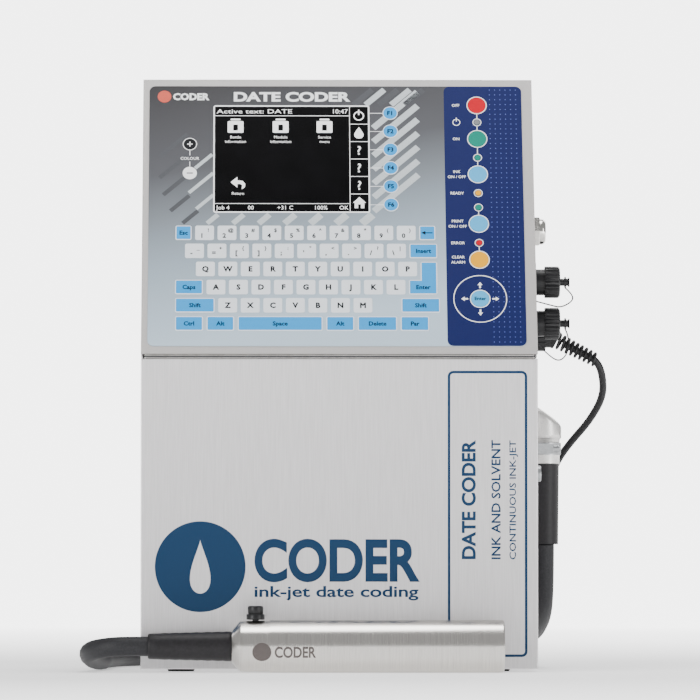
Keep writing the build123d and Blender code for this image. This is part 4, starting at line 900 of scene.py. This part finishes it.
for row, left, widths, names in key_rows:
    key_y = KEY_LOW + row * KEY_ROW
    for index, (share, name) in enumerate(zip(widths, names)):
        key_w = share * KEY_PITCH - KEY_GAP
        key_x = left + key_w / 2
        cap = film(key_x, key_y, key_w, KEY_H, MEMBRANE_TOP, 0.5, 1.6)
        apply_modifier(cap, "BEVEL", width=0.25 * MM, segments=2, angle_limit=math.radians(60))
        pale_caps.append(cap)
        is_arrow = name == "<" and row == 5
        if len(name) > 1 or name == " " or is_arrow:
            if name != " " and name != "Enter":
                cyan_fields.append(film(key_x, key_y, key_w - 1.7, KEY_H - 1.7, KEY_TOP, INK, 0.8))
            if is_arrow:
                legends.append(film(key_x + 1, key_y, 6.5, 0.8, KEY_TOP + INK, INK))
                tip = [(key_x - 5, key_y), (key_x - 1.5, key_y - 1.7), (key_x - 1.5, key_y + 1.7)]
                legends.append(outline_plate(tip, KEY_TOP + INK, INK))
            elif name != " ":
                legends.append(words(name, key_x, key_y, 3.7, KEY_TOP + 2 * INK, bold=0.16))
        elif row in upper_signs:
            upper = upper_signs[row][index - (1 if row == 5 else 0)]
            low_x, low_y = (key_x - 2.2, key_y - 2.6) if row == 5 else (key_x - 2.5, key_y - 1.8)
            legends.append(words(name, low_x, low_y, 4.0, KEY_TOP + INK, bold=0.2))
            legends.append(words(upper, key_x + 3.0, key_y + 2.4, 3.2, KEY_TOP + INK, bold=0.12))
        else:
            legends.append(words(name, key_x, key_y, 4.6, KEY_TOP + INK, bold=0.3))
        left += share * KEY_PITCH

# %% The Enter key's bent field and the function keys
upper_x = -116.0 + 10 * KEY_PITCH
upper_w = 0.9 * KEY_PITCH - KEY_GAP
lower_x = -132.9 + 10.4 * KEY_PITCH
lower_w = 1.42 * KEY_PITCH - KEY_GAP
upper_y = KEY_LOW + 3 * KEY_ROW
lower_y = KEY_LOW + 2 * KEY_ROW
RIM = 0.85
right_x = lower_x + lower_w - RIM
enter_outline = [
    (lower_x + RIM, lower_y - KEY_H / 2 + RIM),
    (right_x, lower_y - KEY_H / 2 + RIM),
    (right_x, upper_y + KEY_H / 2 - RIM),
    (upper_x + RIM, upper_y + KEY_H / 2 - RIM),
    (upper_x + RIM, lower_y + KEY_H / 2 - RIM),
    (lower_x + RIM, lower_y + KEY_H / 2 - RIM),
]
cyan_fields.append(outline_plate(enter_outline, KEY_TOP, INK))
pale_caps.append(film(upper_x + upper_w / 2, (upper_y + lower_y) / 2, upper_w, KEY_ROW, MEMBRANE_TOP, 0.49))
F_KEY_X = 43.0
F_KEY_TOP = 222.9
F_KEY_PITCH = 17.2
for index in range(6):
    height = F_KEY_TOP - index * F_KEY_PITCH
    pale_caps.append(disc(F_KEY_X, height, 6.2, MEMBRANE_TOP, 0.5))
    cyan_fields.append(disc(F_KEY_X, height, 5.6, KEY_TOP, INK))
    legends.append(words(f"F{index + 1}", F_KEY_X, height, 3.8, KEY_TOP + 2 * INK, bold=0.18))
printed(pale_caps, "pale_key_caps", soft_key_film, replaced=["keyboard_keys"])
printed(cyan_fields, "cyan_key_fields", cyan_key_film)
printed(legends, "key_legends", legend_ink)

# %% [markdown]
# **Blue strip.** The power, ink, print and alarm keys stand on a dark blue strip with a field of fine
# pale dots. White rings, link lines and labels tie each key to its lamp.

# %% Strip, dots, rings and labels
FILM_Z = MEMBRANE_TOP + 0.02
STRIP_LEFT, STRIP_RIGHT = 87.3, 151.2
STRIP_LOW, STRIP_HIGH = 6.9, 248.4
strip_blue = grained("blue_screen_ink", "#0C1546", "#121C50", 0.38, 0.0, 0.6, 0.002)
gloss(0.2, strip_blue)
dot_blue = grained("pale_blue_dot_ink", "#4A5AA8", "#5C6CB8", 0.4, 0.0, 0.5, 0.002)
strip_mid = ((STRIP_LEFT + STRIP_RIGHT) / 2, (STRIP_LOW + STRIP_HIGH) / 2)
strip = film(*strip_mid, STRIP_RIGHT - STRIP_LEFT, STRIP_HIGH - STRIP_LOW, FILM_Z, INK, 5.0, "right")
printed([strip], "blue_key_strip", strip_blue)
DOT_PITCH_X, DOT_PITCH_Y = 4.3, 4.6
dots = disc(125.0, 10.5, 0.42, FILM_Z + INK, INK, 8)
for dot_count, dot_step in ((6, (DOT_PITCH_X * MM, 0, 0)), (52, (0, DOT_PITCH_Y * MM, 0))):
    apply_modifier(
        dots,
        "ARRAY",
        count=dot_count,
        use_relative_offset=False,
        use_constant_offset=True,
        constant_offset_displace=dot_step,
    )
printed([dots], "strip_dots", dot_blue)
LINE_Z = FILM_Z + 2 * INK
ROUND_X = 114.3
round_heights = {"off": 230.5, "on": 198.8, "ink": 165.5, "print": 119.3, "alarm": 86.0, "enter": 50.0}
lamp_heights = {"grey": [214.4], "green": [181.1, 134.5], "yellow": [147.9], "red": [101.6]}
white = [ring(ROUND_X, height, 8.3, 0.75, LINE_Z, INK) for height in round_heights.values()]
white += [ring(ROUND_X, h, 3.6, 0.6, LINE_Z, INK, 32) for group in lamp_heights.values() for h in group]
link_lines = [(206.9, 211.0), (218.0, 222.4), (173.8, 177.6), (184.7, 190.7), (127.6, 131.0), (94.3, 98.1)]
for low, high in link_lines:
    white.append(film(ROUND_X, (low + high) / 2, 0.6, high - low, LINE_Z, INK))
labels = [("OFF", 230.5), ("ON", 198.8), ("INK", 168.0), ("ON / OFF", 163.2), ("READY", 147.9)]
labels += [("PRINT", 121.8), ("ON / OFF", 117.0), ("ERROR", 101.6), ("CLEAR", 88.5), ("ALARM", 83.7)]
LABEL_X = 97.0
POWER_X, POWER_Y = 97.4, 214.4
white += [words(text, LABEL_X, height, 2.5, LINE_Z, bold=0.04) for text, height in labels]
white.append(ring(POWER_X, POWER_Y, 3.2, 0.6, LINE_Z, INK, 32))
white.append(film(POWER_X, POWER_Y + 2.6, 0.7, 3.6, LINE_Z, INK))
white.append(ring(ROUND_X, round_heights["enter"], 21.75, 0.7, LINE_Z, INK, 72))
at = Vector((ROUND_X, round_heights["enter"]))
shape = [(9.8, -0.7), (12.6, -0.7), (12.6, -2.0), (15.4, 0), (12.6, 2.0), (12.6, 0.7), (9.8, 0.7)]
for quarter in range(4):
    angle = quarter * math.pi / 2
    out = Vector((math.cos(angle), math.sin(angle)))
    side = Vector((-out.y, out.x))
    arrow = [tuple(at + out * along + side * across) for along, across in shape]
    white.append(outline_plate(arrow, LINE_Z, INK))
printed(white, "strip_white_print", white_ink)
BUTTON_TOP = 1.32
enter_word = words("Enter", ROUND_X, round_heights["enter"], 3.0, BUTTON_TOP, bold=0.12)
printed([enter_word], "enter_key_legend", legend_ink, body="enter_key")
lamp_films = {"grey": grey_film, "green": green_film, "yellow": yellow_film, "red": red_film}
for colour, heights in lamp_heights.items():
    lamps = [disc(ROUND_X, height, 2.4, 0.8, 0.5, 32) for height in heights]
    for lamp in lamps:
        apply_modifier(lamp, "BEVEL", width=0.35 * MM, segments=3)
    printed(lamps, f"{colour}_lamps", lamp_films[colour])

# %% [markdown]
# **Background print.** Slanting bars shade the film behind the screen, dark at the top and left and light
# at the right and below. They are plain plates turned on the layout plane, under the title and the symbols.

# %% Bars, title, emblem and colour keys
BAR_TURN = 43.0
BAR_W = 3.6
dark_bar = grained("dark_bar_ink", "#333539", "#3F4146", 0.42, 0.0, 0.6, 0.002)
light_bar = grained("light_bar_ink", "#A6ADB0", "#B8C0C4", 0.42, 0.0, 0.6, 0.002)


def bar(x, y, length, width=BAR_W):
    """A slanting bar whose lower left end is at x, y."""
    angle = math.radians(BAR_TURN)
    mid_x = x + math.cos(angle) * length / 2
    mid_y = y + math.sin(angle) * length / 2
    return film(mid_x, mid_y, length, width, FILM_Z, INK / 2, 0, "both", BAR_TURN)


BAR_STEP = 21
TOP_BAR_Y = 231.0
dark = [bar(-146, 182, 31), bar(-146, 162, 35), bar(-143, 146, 24), bar(-137, 131, 21)]
dark.append(bar(-127, 119.6, 17))
dark += [bar(13 + BAR_STEP * n, TOP_BAR_Y, 21, 5.0) for n in range(3)]
light = [bar(-117, 171, 19, 3), bar(-122, 148, 27, 3), bar(-116, 133, 19, 3)]
light += [bar(-107 + BAR_STEP * n, 119.5, 12, 4 + n * 0.5) for n in range(7)]
light += [bar(29, 131 + 13 * n, 50, 5.5) for n in range(7)]
light += [bar(23 + BAR_STEP * n, TOP_BAR_Y, 21, 5.0) for n in range(2)]
printed(dark, "dark_background_bars", dark_bar)
printed(light, "light_background_bars", light_bar)
SCREEN_LEFT, SCREEN_RIGHT = -101.0, 24.8
SCREEN_LOW, SCREEN_HIGH = 130.6, 229.1
edge = film(
    (SCREEN_LEFT + SCREEN_RIGHT) / 2,
    (SCREEN_LOW + SCREEN_HIGH) / 2,
    SCREEN_RIGHT - SCREEN_LEFT + 2.4,
    SCREEN_HIGH - SCREEN_LOW + 2.4,
    FILM_Z + INK,
    INK,
    2.0,
)
hollow(edge, 1.2)
TITLE_Y = 238.5
COLOUR_X = -121.4
PLUS_Y, MINUS_Y = 193.6, 166.4
PRINT_Z = FILM_Z + 2 * INK
OVER_Z = FILM_Z + 3 * INK
console_white = [
    edge,
    words("DATE CODER", -86, TITLE_Y, 8.2, PRINT_Z, "LEFT", 0.5, width=96),
    words("CODER", -135.5, TITLE_Y, 6.0, PRINT_Z, "LEFT", 0.4, width=30),
    ring(COLOUR_X, PLUS_Y, 5.8, 0.6, PRINT_Z, INK),
    film(COLOUR_X, PLUS_Y, 4.4, 0.9, OVER_Z, INK),
    film(COLOUR_X, PLUS_Y, 0.9, 4.4, OVER_Z, INK),
    disc(COLOUR_X, MINUS_Y, 5.8, PRINT_Z, INK),
    words("COLOUR", COLOUR_X, 180.2, 2.6, PRINT_Z, bold=0.05),
]
for low, high in ((183.0, 187.8), (172.4, 177.2)):
    console_white.append(film(COLOUR_X, (low + high) / 2, 0.6, high - low, PRINT_Z, INK))
for index in range(6):
    height = F_KEY_TOP - index * F_KEY_PITCH
    console_white.append(film((SCREEN_RIGHT + F_KEY_X - 5.2) / 2, height, 11.0, 0.5, FILM_Z + INK, INK))
printed(console_white, "console_white_print", white_ink)
emblem = [disc(-142.5, TITLE_Y, 5.6, FILM_Z + INK, INK)]
emblem_red = grained("dull_red_screen_ink", "#B8432F", "#C64E39", 0.42, 0.0, 0.6, 0.002)
printed(emblem, "console_emblem", emblem_red)
blacks = [disc(COLOUR_X, PLUS_Y, 5.3, FILM_Z + INK, INK), film(COLOUR_X, MINUS_Y, 5.0, 1.0, OVER_Z, INK)]
printed(blacks, "colour_key_print", legend_ink)

# %% [markdown]
# **Screen picture.** A white status line and footer, three menu icons with captions and a column of six
# symbols beside the function keys. It glows faintly, as a liquid-crystal screen does.

# %% Screen picture
SCREEN_Z = MEMBRANE_TOP - 0.2 + 0.02
STATUS_Y, FOOTER_Y = 224.8, 134.4
TEXT_LEFT, TEXT_RIGHT = -99.5, 8.2
lit = [
    film(-45.7, 220.6, 110.6, 0.5, SCREEN_Z, INK),
    film(-45.7, 138.1, 110.6, 0.5, SCREEN_Z, INK),
    film(9.6, (SCREEN_LOW + SCREEN_HIGH) / 2, 0.5, SCREEN_HIGH - SCREEN_LOW, SCREEN_Z, INK),
    words("Active text: DATE", TEXT_LEFT, STATUS_Y, 4.0, SCREEN_Z, "LEFT", width=62),
    words("10:47", TEXT_RIGHT, STATUS_Y, 4.2, SCREEN_Z, "RIGHT"),
]
for text, text_x in (("Job 4", TEXT_LEFT), ("00", -74), ("+31 C", -50), ("100%", -20)):
    lit.append(words(text, text_x, FOOTER_Y, 3.6, SCREEN_Z, "LEFT"))
lit.append(words("OK", TEXT_RIGHT, FOOTER_Y, 3.6, SCREEN_Z, "RIGHT"))
icons = [(-84, "Bottle", "information"), (-47, "Module", "information"), (-11, "Service", "menu")]
for icon_x, first, second in icons:
    lit.append(film(icon_x, 210.0, 13, 11, SCREEN_Z, INK, 1.0))
    lit.append(film(icon_x, 217.0, 8, 1.6, SCREEN_Z, INK, 0.5))
    lit.append(words(first, icon_x, 200.5, 2.6, SCREEN_Z))
    lit.append(words(second, icon_x, 196.3, 2.6, SCREEN_Z))
back_arrow = [(-88, 158), (-82.5, 163), (-82.5, 159.8), (-78, 159.2), (-76, 156.4), (-76.4, 153.2)]
back_arrow += [(-78.8, 151.6), (-78.8, 153.4), (-78.4, 155.2), (-80, 156.4), (-82.5, 156.4), (-82.5, 153)]
lit.append(outline_plate(back_arrow, SCREEN_Z, INK))
lit.append(words("Return", -82, 147.6, 2.6, SCREEN_Z))
CELL = 16.4
CELL_X = 17.2
for index in range(6):
    height = SCREEN_HIGH - CELL / 2 - index * CELL
    if index == 0:
        lit.append(ring(CELL_X, height - 0.4, 4.4, 1.0, SCREEN_Z, INK, 32))
        lit.append(film(CELL_X, height + 3.0, 1.1, 5.0, SCREEN_Z, INK))
    elif index == 1:
        half = [(0, 5.6), (2.4, 1.8), (3.9, -1.2), (3.7, -3.2), (2.2, -4.8), (0, -5.4)]
        left_half = [(-across, up) for across, up in reversed(half[1:-1])]
        lit.append(outline_plate([(CELL_X + a, height + b) for a, b in half + left_half], SCREEN_Z, INK))
    elif index == 5:
        home = [(-5.4, 0), (0, 5.4), (5.4, 0), (3.9, 0), (3.9, -5), (1.2, -5), (1.2, -1.4), (-1.2, -1.4)]
        home += [(-1.2, -5), (-3.9, -5), (-3.9, 0)]
        lit.append(outline_plate([(CELL_X + a, height + b) for a, b in home], SCREEN_Z, INK))
    else:
        lit.append(words("?", CELL_X, height, 8.0, SCREEN_Z, bold=0.15))
    if index:
        lit.append(film(CELL_X, height + CELL / 2, 15.0, 0.5, SCREEN_Z, INK))
printed(lit, "screen_picture", screen_white)
dark_signs = [film(icon[0], 209.4, 4.0, 5.6, SCREEN_Z + INK, INK, 0.6) for icon in icons]
printed(dark_signs, "screen_picture_dark", screen_black)

# %% [markdown]
# ## Print on the door
# A teal-blue frame runs down the right side with upright lettering in it. The large emblem is an ink
# drop on a disc, and the lettering names what the machine is.

# %% Door print
DOOR_INK = 0.02
EMBLEM_X, EMBLEM_Y, EMBLEM_R = -112, 84.6, 36.5
TEXT_X = -69
LABEL_Y = 90
frame_plate = film(119.3, 127.2, 64.2, 230.4, DOOR_INK, INK, 4.5, "right")
hollow(frame_plate, 2.1)
door_print = [
    frame_plate,
    disc(EMBLEM_X, EMBLEM_Y, EMBLEM_R, DOOR_INK, INK, 96),
    words("CODER", TEXT_X, 90.0, 32.0, DOOR_INK, "LEFT", 1.5, width=133),
    words("ink-jet date coding", TEXT_X, 64.8, 8.6, DOOR_INK, "LEFT", 0.25, width=132),
    words("DATE CODER", 104, LABEL_Y, 10.5, DOOR_INK, "LEFT", 0.5, 90, width=96),
    words("INK AND SOLVENT", 126, LABEL_Y, 7.2, DOOR_INK, "LEFT", 0.2, 90, width=96),
    words("CONTINUOUS INK-JET", 139.5, LABEL_Y, 5.2, DOOR_INK, "LEFT", 0.1, 90, width=96),
]
printed(door_print, "door_print", navy_ink, door_place, "door")
DROP_R = 12.0
DROP_HALF = 21.6
DROP_POINT = 1.6
DROP_STEPS = 48
drop = []
for step in range(DROP_STEPS):
    turn = 2 * math.pi * step / DROP_STEPS
    narrow = math.sin(turn / 2) ** DROP_POINT
    across = DROP_R * math.sin(turn) * narrow
    drop.append((EMBLEM_X + across, EMBLEM_Y + DROP_HALF * math.cos(turn)))
steel_drop = [outline_plate(drop, DOOR_INK + INK, INK)]
printed(steel_drop, "door_emblem_drop", brushed_stainless, door_place, "door")

# %% [markdown]
# **Head marks.** A small disc and the same word are etched by laser on the print head's cover, which is a
# tube. They are drawn flat, cut into narrow strips, and wrapped round the tube by turning height into angle.

# %% Marks wrapped on the head cover
tube_low, tube_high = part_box("head_cover_tube")
TUBE_R = (tube_high[2] - tube_low[2]) / 2
tube_y = (tube_low[1] + tube_high[1]) / 2
tube_z = (tube_low[2] + tube_high[2]) / 2
MARK_Y = -4.5
MARK_Z = 0.02


def wrapped(piece):
    """Cut a flat print into strips and wrap it on the front of the head cover."""
    only(piece)
    bpy.ops.object.mode_set(mode="EDIT")
    for strip in range(-12, 6):
        bpy.ops.mesh.select_all(action="SELECT")
        bpy.ops.mesh.bisect(plane_co=(0, strip * MM, 0), plane_no=(0, 1, 0))
    bpy.ops.object.mode_set(mode="OBJECT")
    for vertex in piece.data.vertices:
        angle = vertex.co.y / TUBE_R
        reach = TUBE_R + vertex.co.z
        vertex.co = (vertex.co.x, tube_y - reach * math.cos(angle), tube_z + reach * math.sin(angle))
    return piece


head_disc = wrapped(disc(-62.5, MARK_Y, 7.6, MARK_Z, INK))
etched_grey = grained("laser_etched_grey", "#4E4745", "#5C5553", 0.5, 0.3, 0.5, 0.002)
settle(head_disc, "head_emblem", "head_cover", etched_grey)
head_word = wrapped(words("CODER", -52.5, MARK_Y, 8.6, MARK_Z, "LEFT", 0.35, width=33))
settle(head_word, "head_word", "head_cover", etched_grey)

# %% [markdown]
# ## Finishes on the CAD parts
# The record gives each CAD node a slot. Each slot gets its finish here, and a few nodes whose real
# surface differs from the rest of their slot are set one by one.

# %% The membrane's own gradient
membrane_film, shader = new_finish("printed_polyester_film", "#8D979E", 0.42)
gloss(0.25, membrane_film)
tree = membrane_film.node_tree
place = add_node(tree, "ShaderNodeTexCoord")
axes = add_node(tree, "ShaderNodeSeparateXYZ", {}, {"Vector": place.outputs["Object"]})
height_share = add_node(
    tree,
    "ShaderNodeMapRange",
    {"From Min": 0.26, "From Max": 0.48},
    {"Value": axes.outputs["Z"]},
)
across_share = add_node(
    tree,
    "ShaderNodeMapRange",
    {"From Min": -0.155, "From Max": 0.09, "To Min": 0.0, "To Max": 0.2},
    {"Value": axes.outputs["X"]},
)
shade = add_node(
    tree,
    "ShaderNodeMath",
    {"operation": "SUBTRACT"},
    {0: height_share.outputs["Result"], 1: across_share.outputs["Result"]},
)
ramp = add_node(tree, "ShaderNodeValToRGB", {}, {"Fac": shade.outputs["Value"]})
stops = [(0.0, "#A9BAC8"), (0.3, "#8997A2"), (0.5, "#696F75"), (0.65, "#4B4C50"), (0.95, "#2F2E30")]
ramp.color_ramp.elements[0].color = linear(stops[0][1])
ramp.color_ramp.elements[1].color = linear(stops[-1][1])
for position, colour in stops[1:-1]:
    ramp.color_ramp.elements.new(position).color = linear(colour)
tree.links.new(ramp.outputs["Color"], shader.inputs["Base Color"])
FILM_GRAIN_MM = 0.4
film_grain = {"Scale": 1 / (FILM_GRAIN_MM * MM)}
grain = add_node(tree, "ShaderNodeTexNoise", film_grain, {"Vector": place.outputs["Object"]})
bump = add_node(
    tree, "ShaderNodeBump", {"Strength": 0.3, "Distance": 0.01 * MM}, {"Height": grain.outputs["Fac"]}
)
tree.links.new(bump.outputs["Normal"], shader.inputs["Normal"])

# %% Slots and single nodes
slot_finishes = {
    "stainless": brushed_stainless,
    "console_grey": console_steel,
    "zinc": zinc_plate,
    "black_rubber": sleeve_rubber,
    "hose_black": hose_rubber,
    "nickel": nickel_plate,
    "cast_silver": cast_aluminium,
    "black_plastic": black_nylon,
    "membrane": membrane_film,
    "keys": soft_key_film,
    "screen": screen_black,
    "red_key": red_film,
    "green_key": green_film,
    "blue_key": blue_film,
    "yellow_key": yellow_film,
    "board": board_green,
    "head_steel": turned_stainless,
    "head_inside": machined_aluminium,
    "bottle_plastic": white_polythene,
}
node_finishes = {"rubber_feet": foot_rubber, "mains_plug": black_nylon}
for subpart in frame["record"]["subparts"]:
    name = subpart["node"]
    finish = node_finishes.get(name, slot_finishes[subpart["material_slot"]])
    for material_slot in nodes[name].material_slots:
        material_slot.material = finish
